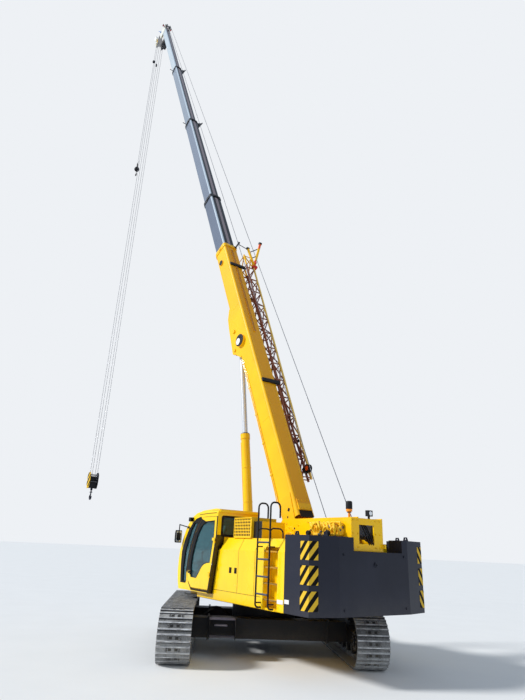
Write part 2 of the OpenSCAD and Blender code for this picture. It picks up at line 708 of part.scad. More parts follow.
// Inverted U in the plane of Y and Z: from a foot at y0, z0 over the top z to a foot at y1, z1.
module hoop(x, y0, z0, z, y1, z1, bend, r) {
    translate([x, 0, 0]) {
        bar([0, y0, z0], [0, y0, z - bend], r);
        bar([0, y1, z1], [0, y1, z - bend], r);
        bar([0, y1 + bend, z], [0, y0 - bend, z], r);
        translate([0, y0 - bend, z - bend]) rotate([90, 0, 90]) rotate_extrude(angle = 90) translate([bend, 0]) circle(r, $fn = 24);
        translate([0, y1 + bend, z - bend]) rotate([90, 0, 90]) rotate([0, 0, 90]) rotate_extrude(angle = 90)
            translate([bend, 0]) circle(r, $fn = 24);
    }
}
module ladder() {
    color(dark) {
        for (x = rail_x) {
            hoop(x, ladder_y, 1100, 2910, ladder_y - 230, 2630, 90, rail_r);
            hoop(x, ladder_y, 2300, 2430, ladder_y - 310, house_top, 90, hoop_r);
            for (z = [1120, 2100]) bar([x, body_half, z], [x, ladder_y, z], 12);
        }
        for (z = rung_z) bar([rail_x[0], ladder_y, z], [rail_x[1], ladder_y, z], 12);
    }
}
beacon_at = [-2950, 120];
module beacon() {
    color("#f08a10") translate([beacon_at[0], beacon_at[1], plate_top]) {
        box([-25, -260, -20], [25, 30, 0]);
        cylinder(r = 25, h = 120);
        translate([0, 0, 120]) cylinder(r = 62, h = 150);
    }
    color(dark) translate([beacon_at[0], beacon_at[1], plate_top + 270]) cylinder(r = 60, h = 40);
}
rear_lamp_at = [-3340, -20];
cab_lamp = [[745, 2600], [835, 2690]];
module work_lamps() {
    color(dark) {
        translate([rear_lamp_at[0], rear_lamp_at[1], plate_top - 20]) {
            cylinder(r = 22, h = 60);
            box([-50, -60, 50], [30, 60, 160]);
        }
        box([cab_lamp[0][0], cab_out, cab_lamp[0][1]], [cab_lamp[1][0], cab_out + 90, cab_lamp[1][1]]);
    }
}
mirror_x = 1262;
mirror_z = [2120, 2400];
mirror_arm = 2530;
mirror_root = [955, 2470];
module mirrors() {
    color(dark) {
        box([mirror_root[0] - 25, cab_out + eps, mirror_root[1] - 25], [mirror_root[0] + 25, cab_out + 18,
            mirror_root[1] + 25]);
        bar([mirror_root[0], cab_out + 12, mirror_root[1]], [mirror_x - 22, cab_out + 110, mirror_arm], 12);
        bar([mirror_x - 22, cab_out + 110, mirror_arm + 12], [mirror_x - 22, cab_out + 110, mirror_z[0] + 40], 12);
        box([mirror_x - 14, cab_out + 30, mirror_z[0]], [mirror_x + 14, cab_out + 190, mirror_z[1]]);
    }
}
module exhaust() {
    color(dark) {
        translate([-1850, -1100, house_top]) cylinder(r = 60, h = 330);
        bar([-1850, -1100, house_top + 300], [-1990, -1100, house_top + 440], 55);
    }
}

// Boom

belly = base_top - base_h;
ridge_w = 64;
ridge_up = 22;
// Columns: place along the boom, height over the foot line, radius, how far it stands out.
side_discs = [[6000, -50, 190, 70], [9690, -40, 95, 34], [6580, -270, 60, 40]];
module boom_base() {
    color(yellow) on_boom() {
        difference() {
            union() {
                section(0);
                // Foot: two side plates that run from the tube back to the foot pin.
                both() across(base_w / 2 - boom_t + 2, base_w / 2 + foot_plate) polygon(concat([[900, base_top - 60],
                    [900, belly + 200]], arc([0, 0], 190, 250, 110, 8)));
                both() rod_y(0, 0, 150, base_w / 2 - 60, foot_face);
                lift_cheeks();
                // Ridge and end plate on the back, discs on the left side.
                box([6100, -ridge_w / 2, base_top - 2], [10100, ridge_w / 2, base_top + ridge_up]);
                box([450, -190, base_top - 2], [710, 190, base_top + 28]);
                for (d = side_discs) rod_y(d[0], d[1], d[2], base_w / 2 - 3, base_w / 2 + d[3]);
            }
            rod_y(0, 0, foot_r + eps, -main_out, main_out);
            rod_y(lift_at, -lift_drop, lift_r + eps, -base_w, base_w);
            across(-base_w, base_w) {
                translate([560, 100]) rotate(45) square(75, center = true);
                translate([430, 5]) square(45, center = true);
            }
        }
        rod_y(lift_at, -lift_drop, lift_r, -base_w / 2 - 30, base_w / 2 + 30);
    }
}
// Four cheeks that hold the lift pin, cut to the tube's round belly.
module lift_cheeks() {
    difference() {
        both() for (y = [base_w / 2 - 130, base_w / 2 - 34]) across(y, y + 32)
            polygon(concat(arc([lift_at, -lift_drop], 140, 190, 290, 6), [[lift_at + 950, belly - 165],
                [lift_at + 1300, belly - 110], [lift_at + 1600, belly + 60], [lift_at + 1600, belly + 150],
                [lift_at - 420, belly + 150], [lift_at - 420, belly + 40]]));
        along(base_end) section_shape(0, 3 - boom_t);
    }
}
module section_2() { color(slate) on_boom() section(1); }
module section_3() { color(slate) on_boom() section(2); }
module section_4() { color(slate) on_boom() section(3); }
module section_5() { color(slate) on_boom() section(4); }

// Head: side plates with lobes round the sheaves, and an arm that carries the tip's sheave.
head_y = half_w(4) + 20;
guide_r = 150;
top_sheave_r = 105;
arm_y = 60;
fall_y = [-0.5, 0.5] * fall_step;
module lobe(p, r) { translate(p) circle(r); }
module boom_head() {
    back = mid_z + half_h(4);
    color(dark) on_boom() difference() {
        union() {
            both() across(head_y - 20, head_y) {
                polygon([[head_at - 185, back - 20], [head_at - 185, -362], [head_at - 1060, -362], [head_at - 1150, -600],
                    [head_at - 60, -1110], [head_at + 240, -900], [head_at + 540, -660], [head_at + 480, 0],
                    [head_at + 200, back + 40], [head_at + 170, back + 158], [head_at + 50, back + 158],
                    [head_at + 20, back - 8]]);
                lobe(head_pin, 290);
                lobe(guide_pin, 188);
            }
            translate([head_at, 0, 0]) along(25) section_shape(4, 4);
        }
        for (p = [head_pin, guide_pin, top_pin]) rod_y(p[0], p[1], pin_r + eps, -head_y - 1, head_y + 1);
    }
    color(yellow) on_boom() {
        difference() {
            both() across(arm_y, arm_y + 20) {
                polygon([[head_at + 20, -190], [head_at + 20, 190], [head_at + 420, 170], [head_at + 900, -60],
                    [head_at + 930, -1080], [head_at + 730, -1080], [head_at + 640, -330], [head_at + 300, -420]]);
                lobe(tip_pin, 130);
            }
            rod_y(tip_pin[0], tip_pin[1], pin_r + eps, -head_y - 1, head_y + 1);
        }
        rod_y(head_at + 790, -600, 34, -arm_y - 10, arm_y + 10);
        rod_y(head_at + 330, 0, 40, 5 - head_y, head_y - 5);
        // Lamp bar across the tip.
        rod_y(head_at + 262, back - 20, 18, -2 * half_w(4), 2 * half_w(4));
        for (y = [-2, 1.6] * half_w(4)) box([head_at + 200, y, back - 60], [head_at + 320, y + 60, back + 40]);
    }
}
function groove(r, w) = [[pin_r, -w / 2], [r, -w / 2], [r, -w / 2 + 6], [r - 22, 0], [r, w / 2 - 6], [r, w / 2], [pin_r, w / 2]];
module sheave(p, y, r) {
    translate([p[0], y, p[1]]) rotate([90, 0, 0]) rotate_extrude() polygon(groove(r, 50));
}
module head_sheaves() {
    color(steel) on_boom() {
        for (p = [head_pin, guide_pin, top_pin]) rod_y(p[0], p[1], pin_r, -head_y - 30, head_y + 30);
        for (y = fall_y) sheave(head_pin, y, sheave_r);
        for (y = [-40, 40]) sheave(guide_pin, y, guide_r);
        for (y = [-100, 100]) sheave(top_pin, y, top_sheave_r);
        rod_y(tip_pin[0], tip_pin[1], pin_r, -arm_y - 45, arm_y + 45);
        sheave(tip_pin, 0, sheave_r);
    }
}

// Lift cylinder

module lift_barrel() {
    color(yellow) on_lift() {
        difference() {
            union() {
                translate([110, 0, 0]) rotate([0, 90, 0]) cylinder(r = barrel_d / 2, h = barrel_l - 110);
                translate([barrel_l - 140, 0, 0]) rotate([0, 90, 0]) cylinder(r = barrel_d / 2 + 14, h = 140);
                rod_y(0, 0, 130, -main_in + 90, main_in - 90);
                rod_y(0, 0, lift_r, -main_in + base_gap, main_in - base_gap);
                translate([0, -barrel_d / 2 + 10, -100]) cube([200, barrel_d - 20, 200]);
            }
            translate([300, 0, 0]) rotate([0, 90, 0]) cylinder(r = rod_d / 2 + slide_gap, h = barrel_l);
        }
    }
}
module lift_rod() {
    color("silver") on_lift() difference() {
        union() {
            translate([rod_start, 0, 0]) rotate([0, 90, 0]) cylinder(r = rod_d / 2, h = lift_len - rod_start - 60);
            rod_y(lift_len, 0, eye_r, -eye_half, eye_half);
        }
        rod_y(lift_len, 0, lift_r + eps, -eye_half - 1, eye_half + 1);
    }
}

// Hoist

block_r = 170;
module main_falls() {
    color(dark) for (y = fall_y, side = [-1, 1]) bar([fall_x + side * (block_r - rope_d / 2), y, hook_z],
        [fall_x + side * (sheave_r - rope_d / 2), y, boom_z(head_pin)], rope_d / 2);
}
module hook_block() {
    cheek = fall_step / 2 + 56;
    color("#d9a514") {
        both() across(cheek, cheek + 20) translate([fall_x, hook_z]) polygon([[-210, 190], [-110, 330], [110, 330],
            [210, 190], [210, -200], [120, -390], [-120, -390], [-210, -200]]);
    }
    color(dark) {
        rod_y(fall_x, hook_z, pin_r, -cheek - 34, cheek + 34);
        for (y = fall_y) translate([fall_x, y, hook_z]) rotate([90, 0, 0]) rotate_extrude() polygon(groove(block_r, 60));
        rod_y(fall_x, hook_z - 340, 45, -cheek - 39, cheek + 39);
    }
}
module hook() {
    color(dark) translate([fall_x, 0, 0]) {
        translate([0, 0, hook_z - 470]) cylinder(r = 50, h = 85 - eps);
        translate([0, 0, hook_z - 700]) cylinder(r = 26, h = 240);
        translate([0, 0, hook_z - 780]) rotate([90, 0, 0]) rotate([0, 0, -200]) rotate_extrude(angle = 290) translate([90, 0]) circle(34, $fn = 24);
    }
}
socket_top = 400;
module aux_fall() {
    color(dark) translate([tip_x, 0, ball_z + socket_top]) cylinder(d = rope_d, h = boom_z(tip_pin) - ball_z - socket_top, $fn = 16);
}
module aux_hook() {
    color(dark) translate([tip_x, 0, ball_z]) {
        sphere(150);
        translate([0, 0, 140]) cylinder(r = 40, h = socket_top - 140);
        translate([0, 0, -340]) cylinder(r = 19, h = 220);
        translate([0, 0, -400]) rotate([90, 0, 0]) rotate([0, 0, -200]) rotate_extrude(angle = 290) translate([70, 0]) circle(24, $fn = 24);
    }
}

// Jib: a tapered four-chord lattice, stowed on the boom's right side with its deep end forward.
jib_at = 1450;
jib_side = -530;
jib_w = 290;
jib_low = 20;
jib_rise = [125, 450];
jib_bays = 14;
lace_t = 24;
// Fork at the jib's front: places along the boom, across it and over the foot line.
fork_root = [9450, -720, 450];
fork_tips = [[10150, -520, 610], [10200, -840, 940]];
fork_d = 84;
// Block round the fork's root and the upper chord: how far it reaches to each side of the root.
fork_boss = [[60, 55, 55], [60, 80, 55]];
// A triangle drawn in by d on every side.
function inset(p, d) = let (a = norm(p[1] - p[2]), b = norm(p[2] - p[0]), c = norm(p[0] - p[1]),
    mid = (a * p[0] + b * p[1] + c * p[2]) / (a + b + c),
    r = abs(cross(p[1] - p[0], p[2] - p[0])) / (a + b + c)) [for (q = p) mid + (1 - d / r) * (q - mid)];
// Flat lacing between two chord lines of length l, which are d0 apart at one end and d1 at the other.
module lacing(l, d0, d1) {
    function top(k) = [l * k / jib_bays, d0 + (d1 - d0) * k / jib_bays];
    function low(k) = [l * k / jib_bays, 0];
    difference() {
        polygon([low(0), low(jib_bays), top(jib_bays), top(0)]);
        for (k = [0 : jib_bays - 1]) for (p = k % 2 == 0
            ? [[low(k), low(k + 1), top(k)], [low(k + 1), top(k + 1), top(k)]]
            : [[low(k), low(k + 1), top(k + 1)], [low(k), top(k + 1), top(k)]]) polygon(inset(p, lace_d / 2));
    }
}
module jib() {
    ramp = atan2(jib_rise[1] - jib_rise[0], jib_l);
    color("#7a4a2a") on_boom() translate([jib_at, jib_side, jib_low]) {
        for (s = [-1, 1]) {
            across(s * jib_w / 2 - lace_t / 2, s * jib_w / 2 + lace_t / 2) lacing(jib_l, jib_rise[0], jib_rise[1]);
            for (z = [[0, 0], jib_rise])
                bar([-30, s * jib_w / 2, z[0]], [jib_l + 30, s * jib_w / 2, z[1]], chord_d / 2);
        }
        translate([0, -jib_w / 2, -lace_t / 2]) linear_extrude(lace_t) lacing(jib_l, jib_w, jib_w);
        translate([0, -jib_w / 2, jib_rise[0]]) rotate([0, -ramp, 0]) translate([0, 0, -lace_t / 2])
            linear_extrude(lace_t) lacing(jib_l / cos(ramp), jib_w, jib_w);
    }
    color(yellow) on_boom() {
        box(fork_root - fork_boss[0], fork_root + fork_boss[1]);
        for (tip = fork_tips) bar(fork_root, tip, fork_d / 2);
    }
}
// Brackets on the boom's side that the lower chords rest on, each with a lip outside, and two beams
// across the boom's back.
seat_at = [2600, 8200];
beam_on = [4200, 9240];
module jib_brackets() {
    seat = jib_low - chord_d / 2 - eps;
    out = jib_side - jib_w / 2 - chord_d / 2 - eps;
    color(dark) on_boom() {
        for (t = seat_at) translate([t - 40, 0, 0]) along(80)
            polygon([[-base_w / 2 - eps, seat - 240], [-base_w / 2 - eps, seat], [out, seat], [out, seat + 90],
                [out - 20, seat + 90], [out - 20, seat - 30], [jib_side, seat - 60]]);
        for (t = beam_on) translate([t - 55, 0, 0]) along(110) difference() {
            translate([0, base_top]) polygon([[-base_w / 2 - 85, eps], [-base_w / 2 - 85, 62], [base_w / 2 - 20, 46],
                [base_w / 2 - 20, eps]]);
            translate([-ridge_w / 2 - eps, base_top - 1]) square([ridge_w + 2 * eps, ridge_up + 1 + eps]);
        }
    }
}

carbody();
slew_ring();
track_frame_left();
track_frame_right();
track_left();
track_right();
sprockets();
idlers();
rollers();
platform();
counterweight();
left_housing();
right_housing();
front_tank();
engine();
cooler_grille();
main_winch();
aux_winch();
hose_bundle();
cab_shell();
cab_glass();
seat();
console();
ladder();
beacon();
work_lamps();
mirrors();
exhaust();
cab_door();
door_glass();
boom_base();
jib();
jib_brackets();
section_2();
section_3();
section_4();
section_5();
boom_head();
head_sheaves();
lift_rod();
lift_barrel();
main_falls();
hook_block();
hook();
aux_fall();
aux_hook();
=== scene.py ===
import json
import math

import bpy
import numpy as np
from mathutils import Matrix, Vector
from mathutils.geometry import tessellate_polygon


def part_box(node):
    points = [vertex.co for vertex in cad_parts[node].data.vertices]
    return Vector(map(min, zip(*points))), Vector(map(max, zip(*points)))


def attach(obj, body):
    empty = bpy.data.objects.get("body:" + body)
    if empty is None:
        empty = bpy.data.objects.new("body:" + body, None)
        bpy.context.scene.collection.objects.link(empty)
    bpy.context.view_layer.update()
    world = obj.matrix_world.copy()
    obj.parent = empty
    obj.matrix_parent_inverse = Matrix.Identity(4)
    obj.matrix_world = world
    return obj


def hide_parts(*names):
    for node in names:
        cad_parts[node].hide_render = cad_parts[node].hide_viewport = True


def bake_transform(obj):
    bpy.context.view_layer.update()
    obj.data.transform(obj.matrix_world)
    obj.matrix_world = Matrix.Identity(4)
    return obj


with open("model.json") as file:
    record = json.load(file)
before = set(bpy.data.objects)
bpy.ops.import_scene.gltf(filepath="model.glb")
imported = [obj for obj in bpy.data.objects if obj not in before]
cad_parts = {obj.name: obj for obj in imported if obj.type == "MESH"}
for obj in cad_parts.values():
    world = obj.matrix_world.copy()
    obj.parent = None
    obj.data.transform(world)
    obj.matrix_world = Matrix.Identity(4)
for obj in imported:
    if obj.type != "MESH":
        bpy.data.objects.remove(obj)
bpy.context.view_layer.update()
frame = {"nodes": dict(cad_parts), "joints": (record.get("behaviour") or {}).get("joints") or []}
nodes = frame["nodes"]
joints = {j["name"]: j for j in frame["joints"]}
scene = bpy.context.scene
scene.view_settings.view_transform = "Standard"
random = np.random.default_rng(5)
print("frame loaded:", len(nodes), "nodes")

up, left, right, front, rear = (0, 0, 1), (0, 1, 0), (0, -1, 0), (1, 0, 0), (-1, 0, 0)


# Least and greatest corner of a node's box.
def low(node):
    return np.array(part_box(node)[0])


def high(node):
    return np.array(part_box(node)[1])


# Coordinates along three directions from a start point, turned into the frame.
def placer(start, *directions):
    rows = np.array(directions, float)
    return lambda points: np.asarray(start, float) + np.asarray(points, float) @ rows


# Boom coordinates: along it, to its left, and over the line through its foot pin
foot = np.array(joints["luff"]["pos_m"], float)
boomAxis = np.array(joints["extend_2"]["axis"], float)
boomUp = np.array([-boomAxis[2], 0.0, boomAxis[0]])
onBoom = placer(foot, boomAxis, left, boomUp)
# Track coordinates: along the tracks, to their left, and up from the ground
trackTurn = math.radians(-30.6)
trackAhead = np.array([math.cos(trackTurn), math.sin(trackTurn), 0.0])
trackAside = np.array([-math.sin(trackTurn), math.cos(trackTurn), 0.0])
onTracks = placer((0, 0, 0), trackAhead, trackAside, up)


# Shapes as arrays: each is a pair of points and faces
# Quads between neighbours on a rows by columns grid, wrapped where it closes.
def gridFaces(rows, columns, closeRows=False, closeColumns=False):
    r = np.arange(rows if closeRows else rows - 1)
    c = np.arange(columns if closeColumns else columns - 1)
    r, c = np.meshgrid(r, c, indexing="ij")
    nextR, nextC = (r + 1) % rows, (c + 1) % columns
    quads = np.stack([r * columns + c, nextR * columns + c, nextR * columns + nextC, r * columns + nextC], -1)
    return quads.reshape(-1, 4).tolist()


# A sheet whose point at (u, v), both from 0 to 1, is formula(u, v).
def surface(formula, rows, columns, closeColumns=False):
    u = np.linspace(0, 1, rows)
    v = np.linspace(0, 1, columns, endpoint=not closeColumns)
    u, v = np.meshgrid(u, v, indexing="ij")
    return formula(u, v).reshape(-1, 3), gridFaces(rows, columns, False, closeColumns)


def unit(rows):
    return rows / np.maximum(np.linalg.norm(rows, axis=-1, keepdims=True), 1e-9)


# Path point plus radius times (cos a, sin a) in the plane square to the path there.
def tube(path, radius, upright=up, sides=8, closed=False):
    path = np.asarray(path, float)
    step = np.roll(path, -1, 0) - np.roll(path, 1, 0) if closed else np.gradient(path, axis=0)
    step = unit(step)
    aside = unit(np.cross(step, np.asarray(upright, float)))
    over = np.cross(aside, step)
    angle = np.linspace(0, 2 * np.pi, sides, endpoint=False)
    radius = np.broadcast_to(np.asarray(radius, float), (len(path),))
    ring = np.cos(angle)[None, :, None] * aside[:, None] + np.sin(angle)[None, :, None] * over[:, None]
    points = path[:, None] + radius[:, None, None] * ring
    faces = gridFaces(len(path), sides, closed, True)
    if not closed:
        last = (len(path) - 1) * sides
        faces += [list(range(sides)), list(range(last + sides - 1, last - 1, -1))]
    return points.reshape(-1, 3), faces


# Three unit rows: two across the axis and the axis itself.
def basis(axis):
    axis = unit(np.asarray(axis, float))
    helper = np.array([0.0, 0.0, 1.0]) if abs(axis[2]) < 0.9 else np.array([1.0, 0.0, 0.0])
    across = unit(np.cross(helper, axis))
    return np.array([across, np.cross(axis, across), axis])


# Profile of (radius, height) pairs turned about the axis through centre; a closed profile makes a ring.
def turned(profile, centre, axis, steps=24):
    profile = np.asarray(profile, float)
    u, v, w = basis(axis)
    angle = np.linspace(0, 2 * np.pi, steps, endpoint=False)
    around = np.cos(angle)[:, None] * u + np.sin(angle)[:, None] * v
    centre = np.asarray(centre, float)
    points = centre + profile[:, 0][:, None, None] * around[None] + profile[:, 1][:, None, None] * w
    faces = gridFaces(len(profile), steps, False, True)
    if not np.allclose(profile[0], profile[-1]):
        last = (len(profile) - 1) * steps
        faces += [list(range(steps - 1, -1, -1)), list(range(last, last + steps))]
    return points.reshape(-1, 3), [face[::-1] for face in faces]


# Outline points in the plane of two directions, and the same points moved along their cross product.
def twoLayers(outline, origin, across, over, depth):
    outline = np.asarray(outline, float)
    across, over = np.asarray(across, float), np.asarray(over, float)
    base = np.asarray(origin, float) + outline[:, 0:1] * across + outline[:, 1:2] * over
    return np.concatenate([base, base + depth * np.cross(across, over)])


# A flat outline given a depth along the cross product of its two directions.
def slab(outline, origin, across, over, depth):
    count = len(outline)
    step = np.arange(count)
    after = (step + 1) % count
    faces = np.stack([step, after, after + count, step + count], 1).tolist()
    faces += [list(range(count - 1, -1, -1)), list(range(count, 2 * count))]
    return twoLayers(outline, origin, across, over, depth), faces


# A plain box between two corners, one part of a joined piece.
def block(a, b):
    outline = [(a[0], a[1]), (b[0], a[1]), (b[0], b[1]), (a[0], b[1])]
    return slab(outline, (0, 0, a[2]), front, left, b[2] - a[2])


# A shape whose points are turned by a placer.
def placed(shape, place):
    return place(shape[0]), shape[1]


def boomBlock(a, b):
    return placed(block(a, b), onBoom)


# Copies of one shape at many places, each with its own turn.
def repeated(shape, places, turns):
    points, faces = shape
    places = np.asarray(places, float)
    copies = np.einsum("pi,nij->npj", points, np.asarray(turns, float)) + places[:, None]
    faces = [[index + k * len(points) for index in face] for k in range(len(places)) for face in faces]
    return copies.reshape(-1, 3), faces


# Several shapes as one: their points in a row, and their faces counted on.
def joined(shapes):
    points, faces, start = [], [], 0
    for shape in shapes:
        points.append(shape[0])
        faces += [[index + start for index in face] for face in shape[1]]
        start += len(shape[0])
    return np.concatenate(points), faces


# Bolt heads that stand on a face, each with its top edge turned down.
def boltsAt(places, outward, radius=0.014, height=0.012):
    head = turned([(radius, 0), (radius, height * 0.8), (radius * 0.86, height)], (0, 0, 0), up, 6)
    return repeated(head, places, np.broadcast_to(basis(outward), (len(places), 3, 3)))


# Centre plus radius times (cos a, sin a) along two directions, at angles given in degrees.
def circle(centre, radius, start, end, count, one=front, other=up):
    angle = np.radians(np.linspace(start, end, count))[:, None]
    ring = np.cos(angle) * np.array(one) + np.sin(angle) * np.array(other)
    return np.asarray(centre, float) + radius * ring


# Places at equal steps on the straight line from a to b.
def along(a, b, steps=2):
    a, b = np.asarray(a, float), np.asarray(b, float)
    return a + np.linspace(0, 1, steps)[:, None] * (b - a)


# Outline points moved inwards by a distance, each along the line that halves its corner.
def insetOutline(outline, distance):
    points = np.asarray(outline, float)
    before, after = unit(points - np.roll(points, 1, 0)), unit(np.roll(points, -1, 0) - points)
    inward = np.stack([-before[:, 1] - after[:, 1], before[:, 0] + after[:, 0]], 1)
    return points + distance * inward / (1 + (before * after).sum(1, keepdims=True))


# A closed outline with each corner rounded: a Bezier arc between points near the corner.
def rounded(outline, reach, steps=5):
    points = np.asarray(outline, float)
    ends = []
    for way in (1, -1):
        toNext = np.roll(points, way, 0) - points
        length = np.linalg.norm(toNext, axis=1, keepdims=True)
        ends.append((points + toNext / length * np.minimum(reach, 0.45 * length))[:, None])
    t = np.linspace(0, 1, steps)[None, :, None]
    arcs = (1 - t) ** 2 * ends[0] + 2 * t * (1 - t) * points[:, None] + t**2 * ends[1]
    return arcs.reshape(-1, 2)


# A flat plate of triangles given a depth: the first outline is its edge, the others its holes.
def holedPlate(outlines, origin, across, over, depth):
    outlines = [np.asarray(line, float) for line in outlines]
    flat = np.concatenate(outlines)
    count = len(flat)
    triangles = tessellate_polygon([[Vector((x, y, 0)) for x, y in line] for line in outlines])
    corners = flat[np.array(triangles)]
    edgeA, edgeB = corners[:, 1] - corners[:, 0], corners[:, 2] - corners[:, 0]
    facing = edgeA[:, 0] * edgeB[:, 1] - edgeA[:, 1] * edgeB[:, 0]
    faces = []
    for (a, b, c), turn in zip(triangles, facing):
        if turn < 0:
            b, c = c, b
        faces += [[c, b, a], [a + count, b + count, c + count]]
    start = 0
    for number, line in enumerate(outlines):
        step = np.arange(len(line))
        after = (step + 1) % len(line) + start
        step = step + start
        x, y = line[:, 0], line[:, 1]
        area = (x * np.roll(y, -1) - np.roll(x, -1) * y).sum()
        if (area > 0) != (number == 0):
            step, after = after, step
        faces += np.stack([step, after, after + count, step + count], 1).tolist()
        start += len(line)
    return twoLayers(flat, origin, across, over, depth), faces


# A flat strip along a path: its section is a low rectangle that stands on the outward side.
def strip(path, width, outward, height):
    path, outward = np.asarray(path, float), np.asarray(outward, float)
    aside = width / 2 * unit(np.cross(outward, np.gradient(path, axis=0)))
    lift = outward * height
    rings = np.stack([path - aside, path + aside, path + aside + lift, path - aside + lift], 1)
    last = 4 * (len(path) - 1)
    faces = gridFaces(len(path), 4, False, True) + [[0, 1, 2, 3], [last + 3, last + 2, last + 1, last]]
    return rings.reshape(-1, 3), faces


# A path through a few points: Catmull-Rom curves between neighbours.
def smoothPath(points, steps=8):
    p = np.asarray(points, float)
    p = np.concatenate([2 * p[:1] - p[1:2], p, 2 * p[-1:] - p[-2:-1]])
    t = np.linspace(0, 1, steps, endpoint=False)[None, :, None]
    a, b, c, d = (p[k : len(p) - 3 + k][:, None] for k in range(4))
    curve = 0.5 * (2 * b + (c - a) * t + (2 * a - 5 * b + 4 * c - d) * t**2 + (3 * b - a - 3 * c + d) * t**3)
    return np.concatenate([curve.reshape(-1, 3), p[-2:-1]])


# A value raised to a power with its sign kept.
def bent(value, squareness):
    return np.sign(value) * np.abs(value) ** squareness


# A surface closed round its columns, with a face over each end.
def cappedSurface(shape, rows, columns):
    points, faces = surface(shape, rows, columns, True)
    faces += [list(range(columns - 1, -1, -1)), list(range(len(points) - columns, len(points)))]
    return points, faces


# A box with rounded edges: a superellipsoid whose point at (a, b) is a power of cosines and sines.
def softBlock(lowCorner, highCorner, squareness=0.22):
    a, b = np.asarray(lowCorner, float), np.asarray(highCorner, float)

    def shape(u, v):
        rise, around = np.pi * (u * 0.998 + 0.001 - 0.5), 2 * np.pi * v
        flat, p = bent(np.cos(rise), squareness), squareness
        out = [flat * bent(np.cos(around), p), flat * bent(np.sin(around), p), bent(np.sin(rise), p)]
        return (a + b) / 2 + (b - a) / 2 * np.stack(out, -1)

    return cappedSurface(shape, 14, 24)


# The record's slot for each look, unless a piece names another
slotOf = {
    "track_steel": "wornSteel castSteel treadGrey", "black_paint": "black chassis rungGrey tubeDark",
    "black_plastic": "rubber plastic seamDark gloss seatCloth", "slate_paint": "slate", "rope_steel": "rope",
    "yellow_paint": "yellow cabYellow hazard blockStripes", "grey_paint": "white blue palePink ridgeBrown",
    "cab_glass": "clearLens", "hose_yellow": "hoseYellow", "jib_paint": "red orange",
    "amber_plastic": "redLens", "rod_chrome": "mirrorGlass",
}
slotOf = {look: slot for slot, group in slotOf.items() for look in group.split()}


# Puts a shape, or a list of shapes as one, in the scene as one object that rides on a body.
def piece(name, shape, body, look, slot=None, bevel=0.0, smooth=35.0, replaces=()):
    points, faces = joined(shape) if isinstance(shape, list) else shape
    mesh = bpy.data.meshes.new(name)
    mesh.from_pydata(points.tolist(), [], faces)
    mesh.validate()
    made = bpy.data.objects.new(name, mesh)
    scene.collection.objects.link(made)
    mesh.materials.append(finish[look])
    if bevel:
        edge = made.modifiers.new("edge", "BEVEL")
        edge.width = bevel
        edge.segments = 2
        edge.limit_method = "ANGLE"
    if smooth:
        mesh.shade_smooth()
        mesh.set_sharp_from_angle(angle=math.radians(smooth))
    if body:
        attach(made, body)
    if replaces:
        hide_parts(*replaces)
    slot or slotOf[look]
    return made


# Shader helpers
# Screen values from 0 to 255 as linear light.
def linear(red, green, blue):
    values = np.array([red, green, blue]) / 255
    lit = np.where(values <= 0.04045, values / 12.92, ((values + 0.055) / 1.055) ** 2.4)
    return (*lit.tolist(), 1.0)


# Short calls for one node tree.
class Shading:
    def __init__(self, tree):
        self.tree = tree

    def add(self, kind, **values):
        node = self.tree.nodes.new("ShaderNode" + kind)
        for key, value in values.items():
            setattr(node, key, value)
        return node

    def feed(self, value, socket):
        if isinstance(value, bpy.types.NodeSocket):
            self.tree.links.new(value, socket)
        else:
            socket.default_value = value

    def fed(self, node, *values):
        for value, socket in zip(values, node.inputs):
            self.feed(value, socket)
        return node.outputs

    def math(self, operation, a, b=0.0, clamp=False):
        return self.fed(self.add("Math", operation=operation, use_clamp=clamp), a, b)[0]

    def times(self, a, b):
        return self.math("MULTIPLY", a, b)

    def mix(self, factor, a, b):
        node = self.add("Mix", data_type="RGBA")
        self.feed(factor, node.inputs[0])
        self.feed(a, node.inputs[6])
        self.feed(b, node.inputs[7])
        return node.outputs[2]

    def mixValue(self, factor, a, b):
        node = self.add("Mix", data_type="FLOAT")
        self.feed(factor, node.inputs[0])
        self.feed(a, node.inputs[2])
        self.feed(b, node.inputs[3])
        return node.outputs[0]

    def step(self, value, start, end, first=0.0, last=1.0):
        node = self.add("MapRange", interpolation_type="SMOOTHSTEP")
        return self.fed(node, value, start, end, first, last)[0]

    def noise(self, vector, scale, detail=4.0, rough=0.55):
        node = self.add("TexNoise")
        for label, value in {"Vector": vector, "Scale": scale, "Detail": detail, "Roughness": rough}.items():
            self.feed(value, node.inputs[label])
        return node.outputs[0]

    def wave(self, vector, direction, scale, distortion=0.0):
        node = self.add("TexWave", wave_type="BANDS", bands_direction=direction)
        for label, value in {"Vector": vector, "Scale": scale, "Distortion": distortion}.items():
            self.feed(value, node.inputs[label])
        return node.outputs[1]

    def stretch(self, vector, scale):
        node = self.add("Mapping")
        self.feed(vector, node.inputs["Vector"])
        node.inputs["Scale"].default_value = scale
        return node.outputs[0]

    def split(self, vector):
        return self.fed(self.add("SeparateXYZ"), vector)

    def dot(self, a, b):
        return self.fed(self.add("VectorMath", operation="DOT_PRODUCT"), a, b)["Value"]

    def place(self):
        return self.add("TexCoord").outputs["Object"]

    def flat(self):
        return self.add("NewGeometry").outputs["True Normal"]


# A shader node group with float inputs and named outputs.
def newGroup(name, inputs, outputs):
    group = bpy.data.node_groups.new(name, "ShaderNodeTree")
    for label, value in inputs.items():
        group.interface.new_socket(label, in_out="INPUT", socket_type="NodeSocketFloat").default_value = value
    for label, kind in outputs.items():
        group.interface.new_socket(label, in_out="OUTPUT", socket_type="NodeSocket" + kind)
    given, out = group.nodes.new("NodeGroupInput").outputs, group.nodes.new("NodeGroupOutput").inputs
    return group, Shading(group), given, out


